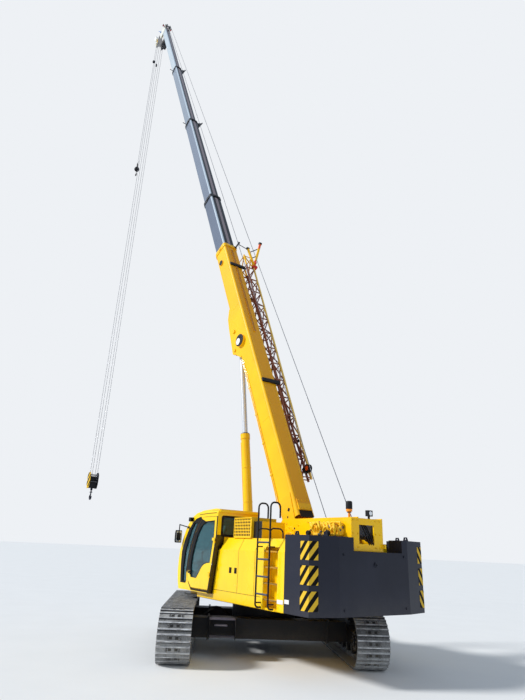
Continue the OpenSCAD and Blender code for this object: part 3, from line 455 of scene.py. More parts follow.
# Dust: more of it low down, on faces that look up, and where a patchy noise is high.
def buildDust():
    inputs = {"Reach": 1.0, "Ledge": 0.3, "Patch": 1.6}
    group, s, given, out = newGroup("Site Dust", inputs, {"Mask": "Float", "Height": "Float"})
    where = s.place()
    height, facing = s.split(where)[2], s.split(s.flat())[2]
    patch, fine = s.noise(where, given["Patch"], 6.0, 0.6), s.noise(where, 38.0, 3.0, 0.6)
    ledge = s.times(s.step(facing, 0.3, 0.95), given["Ledge"])
    both = s.math("ADD", s.step(height, 0.0, given["Reach"], 1.0, 0.0), ledge)
    mask = s.times(both, s.step(patch, 0.3, 0.72, 0.35, 1.0))
    mask = s.math("MULTIPLY", mask, s.step(fine, 0.25, 0.7, 0.6, 1.0), True)
    s.feed(mask, out["Mask"])
    s.feed(s.times(mask, fine), out["Height"])
    return group


# Rounded edges for sharp solids, and a mask of where they are worn.
def buildEdge():
    inputs = {"Radius": 0.012, "Wear": 0.4}
    group, s, given, out = newGroup("Edge Wear", inputs, {"Mask": "Float", "Normal": "Vector"})
    bevel = s.fed(s.add("Bevel", samples=4), given["Radius"])[0]
    off = s.math("SUBTRACT", 1.0, s.dot(bevel, s.flat()))
    chips = s.step(s.noise(s.place(), 26.0, 5.0, 0.7), 0.48, 0.62)
    s.feed(s.math("MULTIPLY", s.times(s.step(off, 0.01, 0.16), chips), given["Wear"], True), out["Mask"])
    s.feed(bevel, out["Normal"])
    return group


# Slow changes of tone and the fine ripple of sprayed paint.
def buildMottle():
    inputs = {"Size": 1.2, "Ripple": 90.0}
    outputs = {"Tone": "Float", "Streak": "Float", "Ripple": "Float"}
    group, s, given, out = newGroup("Paint Mottle", inputs, outputs)
    where = s.place()
    s.feed(s.noise(where, given["Size"], 5.0, 0.55), out["Tone"])
    s.feed(s.step(s.noise(s.stretch(where, (9.0, 9.0, 0.6)), 1.0, 4.0, 0.6), 0.5, 0.75), out["Streak"])
    s.feed(s.noise(where, given["Ripple"], 2.0, 0.5), out["Ripple"])
    return group


groups = {"dust": buildDust(), "edge": buildEdge(), "mottle": buildMottle()}


def placeGroup(s, name, **values):
    node = s.add("Group", node_tree=groups[name])
    for label, value in values.items():
        s.feed(value, node.inputs[label])
    return node.outputs


def newMaterial(name):
    material = bpy.data.materials.new(name)
    material.use_nodes = True
    return material, Shading(material.node_tree), material.node_tree.nodes["Principled BSDF"].inputs


# Feeds colour, roughness and an optional bump height to a material's shader, then its constants.
def dress(s, shader, colour, rough, bump=None, strength=1.0, distance=0.01, normal=None, **constants):
    s.feed(colour, shader["Base Color"])
    s.feed(rough, shader["Roughness"])
    for label, value in constants.items():
        shader[label.replace("_", " ")].default_value = value
    if bump is not None:
        node = s.add("Bump")
        node.inputs["Strength"].default_value = strength
        node.inputs["Distance"].default_value = distance
        s.feed(bump, node.inputs["Height"])
        if normal is not None:
            s.feed(normal, node.inputs["Normal"])
        s.feed(node.outputs[0], shader["Normal"])


# Where a point lies between two distances along each of some directions.
def zoneMask(s, limits):
    where, mask, blur = s.place(), 1.0, 0.002
    for direction, start, end in limits:
        reach = s.dot(where, direction)
        past = s.step(reach, start - blur, start + blur)
        before = s.step(reach, end - blur, end + blur, 1.0, 0.0)
        mask = s.times(s.times(past, before), mask)
    return mask


# Limits of a zone in boom coordinates: along it, across it and over the foot line.
def boomZone(along=None, across=None, over=None):
    limits = []
    for direction, reach in ((boomAxis, along), (np.array(left, float), across), (boomUp, over)):
        if reach:
            shift = float(foot @ direction)
            limits.append((tuple(direction.tolist()), reach[0] + shift, reach[1] + shift))
    return limits


# A painted or bare surface: tone, streaks, zones, dust and worn edges over one colour.
def coated(name, look):
    material, s, shader = newMaterial(name)
    mottle = placeGroup(s, "mottle", Size=look.get("size", 1.2), Ripple=look.get("ripple", 90.0))
    reach, ledge = look.get("reach", 1.0), look.get("ledge", 0.3)
    dust = placeGroup(s, "dust", Reach=reach, Ledge=ledge, Patch=look.get("patch", 1.6))
    edge = placeGroup(s, "edge", Radius=look.get("edge", 0.010), Wear=look.get("wear", 0.4))
    body = s.mix(s.step(mottle["Tone"], 0.3, 0.7), linear(*look["colour"]), linear(*look["second"]))
    body = s.mix(s.times(mottle["Streak"], look.get("streak", 0.15)), body, linear(*look["runs"]))
    for limits, colour in look.get("zones", ()):
        body = s.mix(zoneMask(s, limits), body, linear(*colour))
    body = s.mix(edge["Mask"], body, linear(*look["bare"]))
    dusty = s.times(dust["Mask"], look.get("dust", 0.3))
    body = s.mix(dusty, body, linear(*look.get("soil", (176, 168, 152))))
    gloss = s.mixValue(mottle["Tone"], look["rough"] - 0.05, look["rough"] + 0.07)
    dress(s, shader, body, s.mixValue(dusty, gloss, 0.92), s.math("ADD", mottle["Ripple"], dust["Height"]),
          look.get("bump", 0.05), 0.01, edge["Normal"], Metallic=look.get("metal", 0.0),
          Coat_Weight=look.get("coat", 0.0), Coat_Roughness=0.12,
          Specular_IOR_Level=look.get("specular", 0.25))
    return material


# Looks by name: main colour, second tone, runs, bare edge and roughness, then what else differs
looks = {}


# Adds a look; one with a base takes from it what isn't given.
def addLook(name, colour, second, runs, bare=None, rough=None, base=None, **more):
    row = dict(looks[base]) if base else {}
    row.update(dict(colour=colour, second=second, runs=runs), **more)
    row.update({key: value for key, value in (("bare", bare), ("rough", rough)) if value is not None})
    looks[name] = row


addLook("yellow", (255, 204, 4), (250, 192, 2), (226, 162, 8), (255, 214, 70), 0.30,
        coat=0.35, reach=1.2, ledge=0.25, dust=0.25, wear=0.35)
addLook("cabYellow", (255, 212, 6), (253, 202, 4), (232, 172, 10), (255, 218, 84), 0.26,
        coat=0.5, reach=1.1, ledge=0.2, dust=0.2, wear=0.25)
addLook("slate", (31, 34, 49), (26, 29, 43), (20, 23, 35), (76, 82, 98), 0.42,
        coat=0.10, reach=1.6, ledge=0.4, dust=0.25, wear=0.5)
addLook("tubeDark", (22, 26, 38), (28, 32, 44), (16, 18, 26), (70, 72, 80), 0.42,
        reach=0.5, ledge=0.2, dust=0.15, wear=0.4)
# Brown of the painted shadow lines beside the ridge on the boom's back
addLook("ridgeBrown", (146, 84, 60), (128, 72, 52), (96, 54, 40), (180, 170, 160), 0.5,
        reach=0.5, ledge=0.1, dust=0.2, wear=0.3, size=2.4)
addLook("black", (17, 18, 22), (23, 24, 28), (13, 13, 15), (84, 84, 86), 0.46,
        reach=0.9, ledge=0.5, dust=0.35, wear=0.5)
addLook("chassis", (12, 13, 19), (18, 19, 26), (12, 12, 16), (74, 76, 84), 0.5,
        reach=0.7, ledge=0.5, dust=0.2, wear=0.4)
addLook("track", (58, 58, 61), (40, 40, 44), (30, 30, 32), (226, 226, 224), 0.50,
        metal=0.55, reach=1.1, ledge=1.5, dust=0.85, wear=0.95, edge=0.008, soil=(206, 206, 204),
        patch=3.2, bump=0.3, ripple=40.0)
addLook("castSteel", (120, 120, 122), (98, 98, 102), (76, 70, 64), (200, 200, 200), 0.36,
        metal=0.8, reach=1.2, ledge=0.4, dust=0.4, wear=0.6)
addLook("jibPaint", (142, 84, 60), (118, 66, 54), (98, 54, 34), (206, 146, 80), 0.5,
        reach=0.5, ledge=0.2, dust=0.15, wear=0.8)
addLook("plastic", (20, 21, 24), (26, 27, 30), (16, 16, 18), (60, 60, 62), 0.5,
        reach=0.6, ledge=0.3, dust=0.2, wear=0.2)
addLook("hoseYellow", (255, 208, 40), (246, 190, 30), (190, 130, 24), (255, 220, 110), 0.42,
        reach=0.6, ledge=0.3, dust=0.2, wear=0.3, size=6.0)
addLook("white", (236, 236, 232), (226, 226, 222), (200, 200, 194), (250, 250, 248), 0.4,
        reach=0.8, ledge=0.2, dust=0.2, wear=0.1)
addLook("red", (206, 38, 34), (188, 30, 28), (150, 24, 22), (230, 90, 70), 0.36,
        reach=0.6, ledge=0.2, dust=0.1, wear=0.3)
addLook("orange", (232, 92, 30), (220, 80, 26), (180, 64, 24), (250, 150, 80), base="red")
addLook("wornSteel", (228, 230, 232), (150, 150, 154), (96, 94, 92), (228, 228, 228), 0.45, "castSteel",
        metal=0.4, dust=0.5, size=9.0, soil=(204, 202, 198))
addLook("rungGrey", (66, 74, 92), (56, 64, 82), (44, 50, 64), (130, 136, 146), base="black")
addLook("treadGrey", (104, 100, 114), (88, 84, 98), (60, 58, 68), (150, 148, 158), base="black")
addLook("hookPaint", (20, 26, 44), (16, 20, 36), (12, 14, 24), (96, 104, 130), base="black")
addLook("rubber", (12, 13, 15), (16, 17, 19), (9, 9, 10), (40, 40, 42), 0.7, "plastic", dust=0.08, ripple=160.0)
# Dark brown for real seams and latches, and for painted shade in gaps, openings and at the boom foot
addLook("seamDark", (46, 30, 12), (36, 24, 12), (24, 16, 8), (80, 58, 20), 0.7, "plastic")
addLook("gloss", (6, 7, 9), (8, 9, 11), (5, 5, 6), (30, 30, 32), 0.55, "plastic", dust=0.02)
addLook("mirrorGlass", (222, 228, 234), (214, 220, 228), (196, 204, 212), None, 0.3, "castSteel",
        metal=0.5, dust=0.1, wear=0.0)
addLook("blue", (34, 104, 176), (28, 92, 160), (22, 72, 128), (90, 150, 210), base="white")
addLook("palePink", (206, 176, 196), (194, 164, 184), (160, 130, 150), (224, 200, 214), base="white")

# Telescoping sections: painted shade over the back with a worn strip, painted highlight along the upper left
# edge, black collar
for number, tone in {2: (100, 110, 128), 3: (114, 125, 142), 4: (132, 144, 158), 5: (188, 200, 207)}.items():
    name = "section_%d" % number
    end = max((np.array(vertex.co) - foot) @ boomAxis for vertex in nodes[name].data.vertices)
    half, back = 0.250 - 0.025 * (number - 1), 0.340 - 0.027 * (number - 1)
    zones = [
        # Pale band along the upper left edge: painted highlight
        (boomZone(across=(half - 0.062, 9.0), over=(back - 0.062, 9.0)), (176, 190, 202)),
        # Dark back: painted shade
        (boomZone(across=(-half, half - 0.050), over=(back - 0.004, 9.0)), (13, 17, 27)),
        (boomZone(across=(-0.058, 0.058), over=(back - 0.004, 9.0)), (142, 128, 132)),
    ]
    if number < 5:
        zones.append((boomZone(along=(end - 0.152, 99.0)), (20, 22, 30)))
    addLook(name, tone, tuple(v - 10 for v in tone), tuple(v - 26 for v in tone), (170, 180, 190), 0.30,
            coat=0.3, reach=0.5, ledge=0.1, dust=0.1, wear=0.5, size=0.6, zones=zones)


# A look like another one, with colours of its own where its zones lie.
def zoned(name, base, *zones, **more):
    looks[name] = dict(looks[base], zones=list(zones), **more)


# Limits of a zone along X, Y and Z of the frame, where given.
def span(x=None, y=None, z=None):
    rows = np.eye(3).tolist()
    return [(tuple(row), *limit) for row, limit in zip(rows, (x, y, z)) if limit]


zoned("headPaint", "black", (boomZone(along=(34.00, 99.0), over=(-0.46, 9.0)), (206, 206, 196)),
      (boomZone(along=(34.62, 99.0), across=(-0.12, 0.12)), (226, 214, 168)),
      (boomZone(along=(34.40, 34.60), across=(-9.0, 9.0), over=(0.14, 9.0)), (70, 24, 34)))
# Inside of the cab: between its side walls and inside every edge of its convex side outline
cabOutline = np.array([
    (-0.145, 1.12), (1.24, 1.12), (1.31, 1.31), (1.35, 1.54), (1.345, 1.77), (1.315, 1.96), (1.225, 2.18),
    (1.11, 2.40), (0.975, 2.57), (0.80, 2.70), (0.60, 2.785), (0.35, 2.84), (-0.365, 2.86), (-0.365, 2.30),
])
wallInside = span(y=(0.50, 1.575))
for corner, step in zip(cabOutline, np.roll(cabOutline, -1, 0) - cabOutline):
    inward = np.array([-step[1], 0.0, step[0]]) / np.linalg.norm(step)
    start = float(inward[0] * corner[0] + inward[2] * corner[1])
    wallInside.append((tuple(inward.tolist()), start + 0.025, start + 9.0))
lining = (30, 32, 36)
# Dark brown on the strip of the cab's rear edge beside the housing: painted shade
rearStripShade = [((0.98306, 0.0, 0.183282), -9.0, 0.0668)] + span(y=(1.40, 1.61), z=(1.10, 2.31))
zoned("cabShell", "cabYellow", (wallInside, lining), (rearStripShade, (44, 28, 12)))
zoned("cabDoor", "cabYellow", (span(y=(0.0, 1.590)), lining))
zoned("coolerPaint", "yellow", (span(x=(-1.697, -1.401)), (22, 23, 27)))
zoned("platformPaint", "yellow", (span(x=(0.52, 9.0), z=(0.9, 1.045)), (26, 24, 22)))
# Darker ochre strips at the recessed footholds beside the ladder: painted shadow
footholdShadows = [(span(x=(-2.46, -2.02), z=(z, z + 0.03)), (200, 142, 8)) for z in (1.164, 1.444, 1.724, 2.004)]
zoned("housingPaint", "cabYellow", *footholdShadows)
# Deeper ochre over the boom's back: painted shade
shadedBoomBack = boomZone(along=(0.6, 10.3), across=(-0.21, 0.21), over=(0.335, 9.0))
zoned("boomPaint", "yellow", (shadedBoomBack, (232, 160, 0)), colour=(252, 194, 6), second=(245, 182, 4), coat=0.12,
      rough=0.40)
# Hook block: yellow on its left side and black elsewhere, the black as painted shade on its far side and inside
zoned("blockPaint", "black", (span(y=(0.19, 9.0)), (244, 196, 20)))
# The jib's outer right chord is pale: it lies highest over the boom and farthest to its right
chordTilt = math.radians(2.216)
chordUp = math.cos(chordTilt) * boomUp - math.sin(chordTilt) * boomAxis
jibPoints = np.array([vertex.co for vertex in nodes["jib"].data.vertices])
jibPoints = jibPoints[(jibPoints - foot) @ boomAxis < 9.2]
chordTop, chordRight = float((jibPoints @ chordUp).max()), float(jibPoints[:, 1].min())
chord = [(tuple(chordUp.tolist()), chordTop - 0.10, chordTop + 1.0)] + span(y=(-9.0, chordRight + 0.06))
zoned("jibPaint", "jibPaint", (chord, (236, 196, 96)), (boomZone(along=(9.37, 99.0)), (245, 190, 20)))
finish = {name: coated(name, look) for name, look in looks.items()}


# Dark teal safety glass that still lets the seat show.
def buildGlass():
    material, s, shader = newMaterial("cabGlass")
    streaks = s.noise(s.stretch(s.place(), (2.0, 2.0, 7.0)), 1.0, 4.0, 0.6)
    tint = s.mix(streaks, linear(92, 138, 146), linear(116, 164, 170))
    dress(s, shader, tint, s.mixValue(streaks, 0.02, 0.07), Transmission_Weight=0.86, IOR=1.45)
    return material


# Hard chrome with a trace of oil drawn along the rod.
def buildChrome():
    material, s, shader = newMaterial("chrome")
    drawn = s.noise(s.stretch(s.place(), (60.0, 60.0, 1.5)), 1.0, 3.0, 0.5)
    tint = s.mix(drawn, linear(206, 209, 214), linear(232, 234, 238))
    dress(s, shader, tint, s.mixValue(drawn, 0.22, 0.32), Metallic=0.4)
    return material


# Wire rope: strands wound round it as diagonal ridges across the object's coordinates.
def buildRope():
    material, s, shader = newMaterial("wireRope")
    strands = s.wave(s.stretch(s.place(), (30.0, 30.0, 30.0)), "DIAGONAL", 1.0)
    tint = s.mix(strands, linear(58, 62, 72), linear(128, 132, 142))
    dress(s, shader, tint, s.mixValue(strands, 0.55, 0.35), strands, 1.0, 0.004, Metallic=0.6)
    return material


# Slanting warning stripes laid out on the piece's own UV map, in metres.
def buildStripes(name, bright, slant, pitch):
    material, s, shader = newMaterial(name)
    place = s.split(s.add("UVMap", uv_map="layout").outputs[0])
    line = s.math("ADD", place[0], s.times(place[1], slant))
    share = s.math("FRACT", s.math("DIVIDE", line, pitch))
    band = s.step(s.math("ABSOLUTE", s.math("SUBTRACT", share, 0.5)), 0.24, 0.26)
    worn = s.noise(s.place(), 14.0, 5.0, 0.6)
    yellow = s.mix(worn, linear(*bright), linear(206, 166, 60))
    striped = s.mix(band, yellow, linear(8, 8, 8))
    dress(s, shader, striped, s.mixValue(worn, 0.5, 0.65), Specular_IOR_Level=0.12)
    return material


# Moulded lens with fine ribs and a little light of its own.
def buildLens(name, colour, glow):
    material, s, shader = newMaterial(name)
    ribs = s.wave(s.place(), "Z", 24.0)
    dress(s, shader, s.mix(ribs, linear(*colour), linear(*[min(255, c + 24) for c in colour])), 0.14,
          Coat_Weight=0.6, Emission_Color=linear(*colour), Emission_Strength=glow)
    return material


# Woven seat cloth: crossed waves, with the nap's own noise.
def buildSeatCloth():
    material, s, shader = newMaterial("seatCloth")
    where = s.place()
    threads = [s.wave(where, direction, 130.0, 0.4) for direction in ("X", "Y", "Z")]
    weave = s.times(s.math("ADD", s.math("ADD", threads[0], threads[1]), threads[2]), 0.33)
    nap = s.noise(where, 9.0, 5.0, 0.6)
    dress(s, shader, s.mix(s.times(weave, nap), linear(24, 26, 30), linear(66, 70, 78)), 0.88,
          weave, 0.3, 0.002, Sheen_Weight=0.3)
    return material


finish["seatCloth"] = buildSeatCloth()
finish["glass"] = buildGlass()
finish["chrome"] = buildChrome()
finish["rope"] = buildRope()
finish["hazard"] = buildStripes("hazardStripes", (240, 196, 44), -0.84, 0.19)
finish["blockStripes"] = buildStripes("blockStripes", (246, 200, 30), 0.9, 0.30)
finish["amber"] = buildLens("amberLens", (250, 140, 10), 0.15)
finish["clearLens"] = buildLens("clearLens", (220, 224, 226), 0.05)
finish["redLens"] = buildLens("redLens", (176, 20, 30), 0.1)
print("materials made:", len(finish))

# Which solids of the frame get each finish
solidsOf = {
    "chassis": "carbody track_frame_left track_frame_right sprockets idlers rollers", "hookPaint": "hook",
    "castSteel": "slew_ring main_winch aux_winch exhaust head_sheaves", "track": "track_left track_right",
    "platformPaint": "platform", "slate": "counterweight", "housingPaint": "left_housing",
    "boomPaint": "boom_base", "cabYellow": "right_housing", "yellow": "front_tank lift_barrel",
    "coolerPaint": "cooler_grille", "black": "engine ladder work_lamps jib_brackets aux_hook",
    "hoseYellow": "hose_bundle", "glass": "cab_glass door_glass", "plastic": "seat console mirrors",
    "amber": "beacon", "cabDoor": "cab_door", "cabShell": "cab_shell",
    "jibPaint": "jib", "headPaint": "boom_head", "chrome": "lift_rod", "rope": "main_falls aux_fall",
    "blockPaint": "hook_block", "section_2": "section_2", "section_3": "section_3", "section_4": "section_4",
    "section_5": "section_5",
}
for finishName, solids in solidsOf.items():
    for solid in solids.split():
        slots = nodes[solid].data.materials
        slots.clear()
        slots.append(finish[finishName])
print("solids finished:", len(nodes))


# Camera and light
cameraSet = dict(place=(-10.7199, 7.7351, 2.0493), heading=-34.556, pitch=21.106, roll=2.498, focal=516.097,
                 imageHeight=700)


def buildCamera():
    heading, pitch, roll = (math.radians(cameraSet[key]) for key in ("heading", "pitch", "roll"))
    aim = Vector((math.cos(heading) * math.cos(pitch), math.sin(heading) * math.cos(pitch), math.sin(pitch)))
    aside = Vector((math.sin(heading), -math.cos(heading), 0))
    over = aside.cross(aim)
    rolledAside = math.cos(roll) * aside + math.sin(roll) * over
    rolledOver = -math.sin(roll) * aside + math.cos(roll) * over
    data = bpy.data.cameras.new("camera")
    camera = bpy.data.objects.new("camera", data)
    scene.collection.objects.link(camera)
    turn = Matrix((rolledAside, rolledOver, -aim)).transposed().to_4x4()
    camera.matrix_world = Matrix.Translation(cameraSet["place"]) @ turn
    data.sensor_width = 36.0
    data.lens = cameraSet["focal"] / cameraSet["imageHeight"] * data.sensor_width
    data.clip_end = 900.0
    scene.camera = camera


# Each lamp: where it shines from, its power and its softness in degrees
lightSet = dict(lamps={"sun": ((0.42, 0.80, 0.62), 3.4, 9.0), "fill": ((-0.8, 0.3, 0.5), 0.2, 40.0)}, sky=0.62,
                skyTint=(206, 220, 238))


def buildLight():
    for name, (source, power, softness) in lightSet["lamps"].items():
        lamp = bpy.data.lights.new(name, "SUN")
        lamp.energy = power
        lamp.angle = math.radians(softness)
        holder = bpy.data.objects.new(name, lamp)
        holder.rotation_euler = Vector(source).to_track_quat("Z", "Y").to_euler()
        scene.collection.objects.link(holder)
    world = bpy.data.worlds.new("studio")
    scene.world = world
    world.use_nodes = True
    s = Shading(world.node_tree)
    lit = s.fed(world.node_tree.nodes["Background"], linear(*lightSet["skyTint"]), lightSet["sky"])[0]
    seen = s.fed(s.add("Background"), linear(238, 241, 245), 1.0)[0]
    rays = s.add("LightPath").outputs
    direct = s.math("MAXIMUM", rays["Is Camera Ray"], rays["Is Transmission Ray"])
    s.feed(s.fed(s.add("MixShader"), direct, lit, seen)[0], world.node_tree.nodes["World Output"].inputs[0])


# A pale flat disc just under the tracks: its rings stand at the square of their share of the rim.
floorSet = dict(reach=400, under=0.002)


def buildFloor():
    material, s, shader = newMaterial("floor")
    grain = s.noise(s.place(), 0.8, 5.0, 0.6)
    dress(s, shader, s.mix(grain, linear(222, 222, 220), linear(230, 230, 228)), 0.9)

    def disc(u, v):
        reach, height = floorSet["reach"] * u**2, 0 * u - floorSet["under"]
        return np.stack([reach * np.cos(2 * np.pi * v), reach * np.sin(2 * np.pi * v), height], -1)

    points, faces = surface(disc, 12, 64, True)
    mesh = bpy.data.meshes.new("floor")
    mesh.from_pydata(points.tolist(), [], [face[::-1] for face in faces])
    floor = bpy.data.objects.new("floor", mesh)
    mesh.materials.append(material)
    scene.collection.objects.link(floor)


buildCamera()
buildLight()
buildFloor()
print("camera, light and floor made")

# Undercarriage
trackSet = dict(base=4.06, gauge=3.69, height=0.95, linkLine=0.433, shoes=58, shoeThick=0.024, hubOut=0.255,
                boltPlaces=((0.33, 0.115), (0.50, 0.115)), bars=(0.14, 0.70), barHigh=0.018, shoeWide=0.62,
                slot=(0.30, 0.55), slotSide=(0.03, 0.085))
halfBase, hubHeight = trackSet["base"] / 2, trackSet["height"] / 2
shoePitch = (2 * trackSet["base"] + 2 * math.pi * trackSet["linkLine"]) / trackSet["shoes"]
bothSides = ((1, "left"), (-1, "right"))


# Places on the stadium loop of the links at distances s: two straights and two half circles.
def onLoop(s, lift):
    half, middle, r, straight = halfBase, hubHeight, trackSet["linkLine"], trackSet["base"]
    bend = math.pi * r
    s = s % (2 * straight + 2 * bend)
    first = np.pi * 1.5 - (s - straight) / r
    second = np.pi * 0.5 - (s - 2 * straight - bend) / r
    place = [s < straight, s < straight + bend, s < 2 * straight + bend]
    back = -half + s - straight - bend
    u = np.select(place, [half - s, -half + r * np.cos(first), back], half + r * np.cos(second))
    z = np.select(place, [middle - r + 0 * s, middle + r * np.sin(first), middle + r + 0 * s],
                  middle + r * np.sin(second))
    turn = np.select(place, [np.pi + 0 * s, first - np.pi / 2, 0 * s], second - np.pi / 2)
    return u - lift * np.sin(turn), z + lift * np.cos(turn), turn


# A copy of a shape on every shoe, at a share of the pitch, off the track's middle and over the link line.
def onShoes(shape, share, side, offset, lift):
    u, z, turn = onLoop((np.arange(trackSet["shoes"]) + share) * shoePitch, lift)
    places = onTracks(np.stack([u, np.full(len(u), side * trackSet["gauge"] / 2 + offset), z], 1))
    cosine, sine = np.cos(turn)[:, None], np.sin(turn)[:, None]
    ahead = cosine * trackAhead + sine * np.array(up)
    outward = -sine * trackAhead + cosine * np.array(up)
    return repeated(shape, places, np.stack([ahead, np.cross(outward, ahead), outward], 1))


def makeShoeDetails():
    thick, (start, end), (inner, outer) = trackSet["shoeThick"], trackSet["slot"], trackSet["slotSide"]
    bolt = turned([(0.016, -0.001), (0.016, 0.013), (0.012, 0.016)], (0, 0, 0), up, 6)
    long, wide, reach = (end - start) * shoePitch / 2, (outer - inner) / 2, trackSet["shoeWide"] / 2 - 0.004
    # Black patches in the shoes' holes: painted shade
    slot = block((-long, -wide, -0.001), (long, wide, 0.002))
    bar = block((-0.0105, -reach, -0.001), (0.0105, reach, 0.0012))
    for side, name in bothSides:
        wear = [onShoes(bar, share, side, 0.0, thick + trackSet["barHigh"]) for share in trackSet["bars"]]
        bolts = [onShoes(bolt, share, side, way * offset, thick)
                 for share, offset in trackSet["boltPlaces"] for way in (-1, 1)]
        slots = [onShoes(slot, (start + end) / 2, side, way * (inner + outer) / 2, thick) for way in (-1, 1)]
        piece("worn_bars_" + name, wear, "undercarriage", "wornSteel", smooth=0)
        piece("shoe_bolts_" + name, bolts, "undercarriage", "castSteel")
        piece("shoe_openings_" + name, slots, "undercarriage", "black", smooth=0)


# Rings of bolts on the hubs: place along the track, shift outwards, ring, its angles and count, bolt size
hubRings = ((-halfBase, 0.0, 0.138, 0, 330, 12, 0.013, 0.012),
            (-halfBase, 0.025, 0.072, 15, 315, 6, 0.009, 0.01),
            (halfBase, -0.03, 0.055, 0, 300, 6, 0.011, 0.01))


def makeHubDetails():
    bolts = []
    for side in (-1, 1):
        for way in (-1, 1):
            v = side * trackSet["gauge"] / 2 + way * trackSet["hubOut"]
            for u, shift, reach, start, end, count, radius, height in hubRings:
                ring = circle((u, v + way * shift, hubHeight), reach, start, end, count)
                bolts.append(boltsAt(onTracks(ring), trackAside * way, radius, height))
    piece("hub_bolts", bolts, "undercarriage", "castSteel")


# Step bracket on the rear cross beam: two cut side plates with three pale treads between them.
stepSet = dict(sides=(0.70, 1.22), sheet=0.012,
               treads=((-1.20, -1.48, 0.700, 0.70, 1.22), (-1.40, -1.57, 0.600, 0.86, 1.12),
                       (-1.30, -1.52, 0.390, 0.70, 1.22)),
               outline=((-1.155, 0.69), (-1.50, 0.69), (-1.58, 0.60), (-1.58, 0.42), (-1.50, 0.34),
                        (-1.155, 0.36)))


def makeSteps():
    treads = []
    plates = [slab(stepSet["outline"], onTracks((0, v, 0)), trackAhead, up, stepSet["sheet"])
              for v in stepSet["sides"]]
    for near, far, z, inner, outer in stepSet["treads"]:
        treads.append(block((far, inner, z - 0.012), (near, outer, z)))
        for u in np.linspace(far + 0.02, near - 0.02, 6):
            treads.append(block((u - 0.006, inner + 0.01, z), (u + 0.006, outer - 0.01, z + 0.006)))
    piece("step_plates", plates, "undercarriage", "chassis", bevel=0.002)
    piece("step_treads", placed(joined(treads), onTracks), "undercarriage", "treadGrey", bevel=0.002)


def makeRingParts():
    bolts = boltsAt(circle((0, 0, 0.949), 0.695, 0, 354, 60, front, left), up, 0.011, 0.016)
    piece("ring_bolts", bolts, "undercarriage", "castSteel", "ring_steel")
    hoses = []
    for s in (-1, 1):
        for k in (-1, 0, 1):
            line = [(0.16 * k - 0.3, s * 0.72, 0.62), (0.2 * k - 0.3, s * 1.1, 0.80),
                    (0.4 * k - 0.5, s * 1.5, 0.60)]
            hoses.append(tube(smoothPath(onTracks(line)), 0.016))
    piece("travel_hoses", hoses, "undercarriage", "rubber")


makeShoeDetails()
makeHubDetails()
makeSteps()
makeRingParts()
print("undercarriage dressed")

# Upper structure
weightSet = dict(plates=((1.105, 1.415), (1.51, 1.82), (1.91, 2.22)), side=1.495, sideFrom=-3.12, corner=-3.353,
                 chamferEnd=(-3.394, 1.321), sheet=0.003, ring=(-3.492, 0.0, 1.88))


# Writes one UV place for each point of a mesh into the map named layout.
def paintLayout(made, layout):
    mesh = made.data
    chart = mesh.uv_layers.new(name="layout")
    corner = np.empty(len(mesh.loops), int)
    mesh.loops.foreach_get("vertex_index", corner)
    chart.data.foreach_set("uv", layout[corner].ravel())


# Striped plates that wrap each rear corner: u runs round the corner in metres and v is the height.
def makeHazardPlates():
    path = np.array([(weightSet["sideFrom"], weightSet["side"]), (weightSet["corner"], weightSet["side"]),
                     weightSet["chamferEnd"]])
    outward = np.array([(0, 1), (-0.29, 0.957), (-0.973, 0.23)])
    reach = np.concatenate([[0], np.cumsum(np.linalg.norm(np.diff(path, axis=0), axis=1))])
    place = np.concatenate([reach, reach[::-1]])
    for side, name in bothSides:
        loop = np.concatenate([path, (path + outward * weightSet["sheet"])[::-1]])
        loop[:, 1] *= side
        points, faces, layout = [], [], []
        for bottom, top in weightSet["plates"]:
            start = len(points) * 6
            points += [np.column_stack([loop, np.full(6, z)]) for z in (bottom, top)]
            layout += [np.column_stack([place, np.full(6, z)]) for z in (bottom, top)]
            caps = [[start + k for k in (0, 5, 4, 1)], [start + k for k in (1, 4, 3, 2)]]
            ring = [(start + k, start + (k + 1) % 6) for k in range(6)]
            faces += [[a, b, b + 6, a + 6] for a, b in ring]
            faces += caps + [[index + 6 for index in cap[::-1]] for cap in caps]
        faces = faces if side < 0 else [face[::-1] for face in faces]
        plate = piece("hazard_plates_" + name, (np.concatenate(points), faces), "upper", "hazard", smooth=0)
        paintLayout(plate, np.concatenate(layout))


# Corners of a box on one side of the middle plane, from its spans on the left.
def sideBox(side, x, y, z):
    y = sorted((side * y[0], side * y[1]))
    return (x[0], y[0], z[0]), (x[1], y[1], z[1])


def makeWeightParts():
    lights = [block(*sideBox(side, (start, end), (1.494, 1.502), (z - 0.035, z + 0.035)))
              for side in (-1, 1) for start, end, z in ((-2.65, -2.47, 1.18), (-2.82, -2.69, 1.20))]
    piece("reflectors", lights, "upper", "white", "amber_plastic", bevel=0.004)
    x, y, z = weightSet["ring"]
    around = np.linspace(0, 2 * np.pi, 24, endpoint=False)
    ringY, ringZ = y + 0.032 * np.sin(around), z - 0.02 + 0.032 * np.cos(around)
    loop = np.column_stack([np.full(24, x - 0.012), ringY, ringZ])
    lug = block((x - 0.02, y - 0.018, z - 0.004), (x + 0.002, y + 0.018, z + 0.026))
    piece("rear_ring", [tube(loop, 0.008, front, closed=True), lug], "upper", "slate", bevel=0.004)
    studs = [boltsAt([(-3.4935, y, z) for y in (-0.8, 0.8) for z in (1.12, 2.02)], rear, 0.022, 0.016),
             boltsAt([(-2.72, s * 1.36, 2.3205) for s in (-1, 1)], up, 0.02, 0.014)]
    piece("weight_studs", studs, "upper", "slate")


# Door seams, latches and hinges on the side housings: for each side its seams, its sill and its latches
housingSet = dict(side=1.495, low=1.21, shoulder=2.016, slopeTop=(1.366, 2.2555), seam=0.007, proud=0.002,
                  doors=((1, (-1.12, -1.71), (-0.16, -1.95), (-0.83, -1.03)),
                         (-1, (-0.55, -1.2, -1.85), (0.12, -2.6), (-0.65, -1.3, -1.95))))


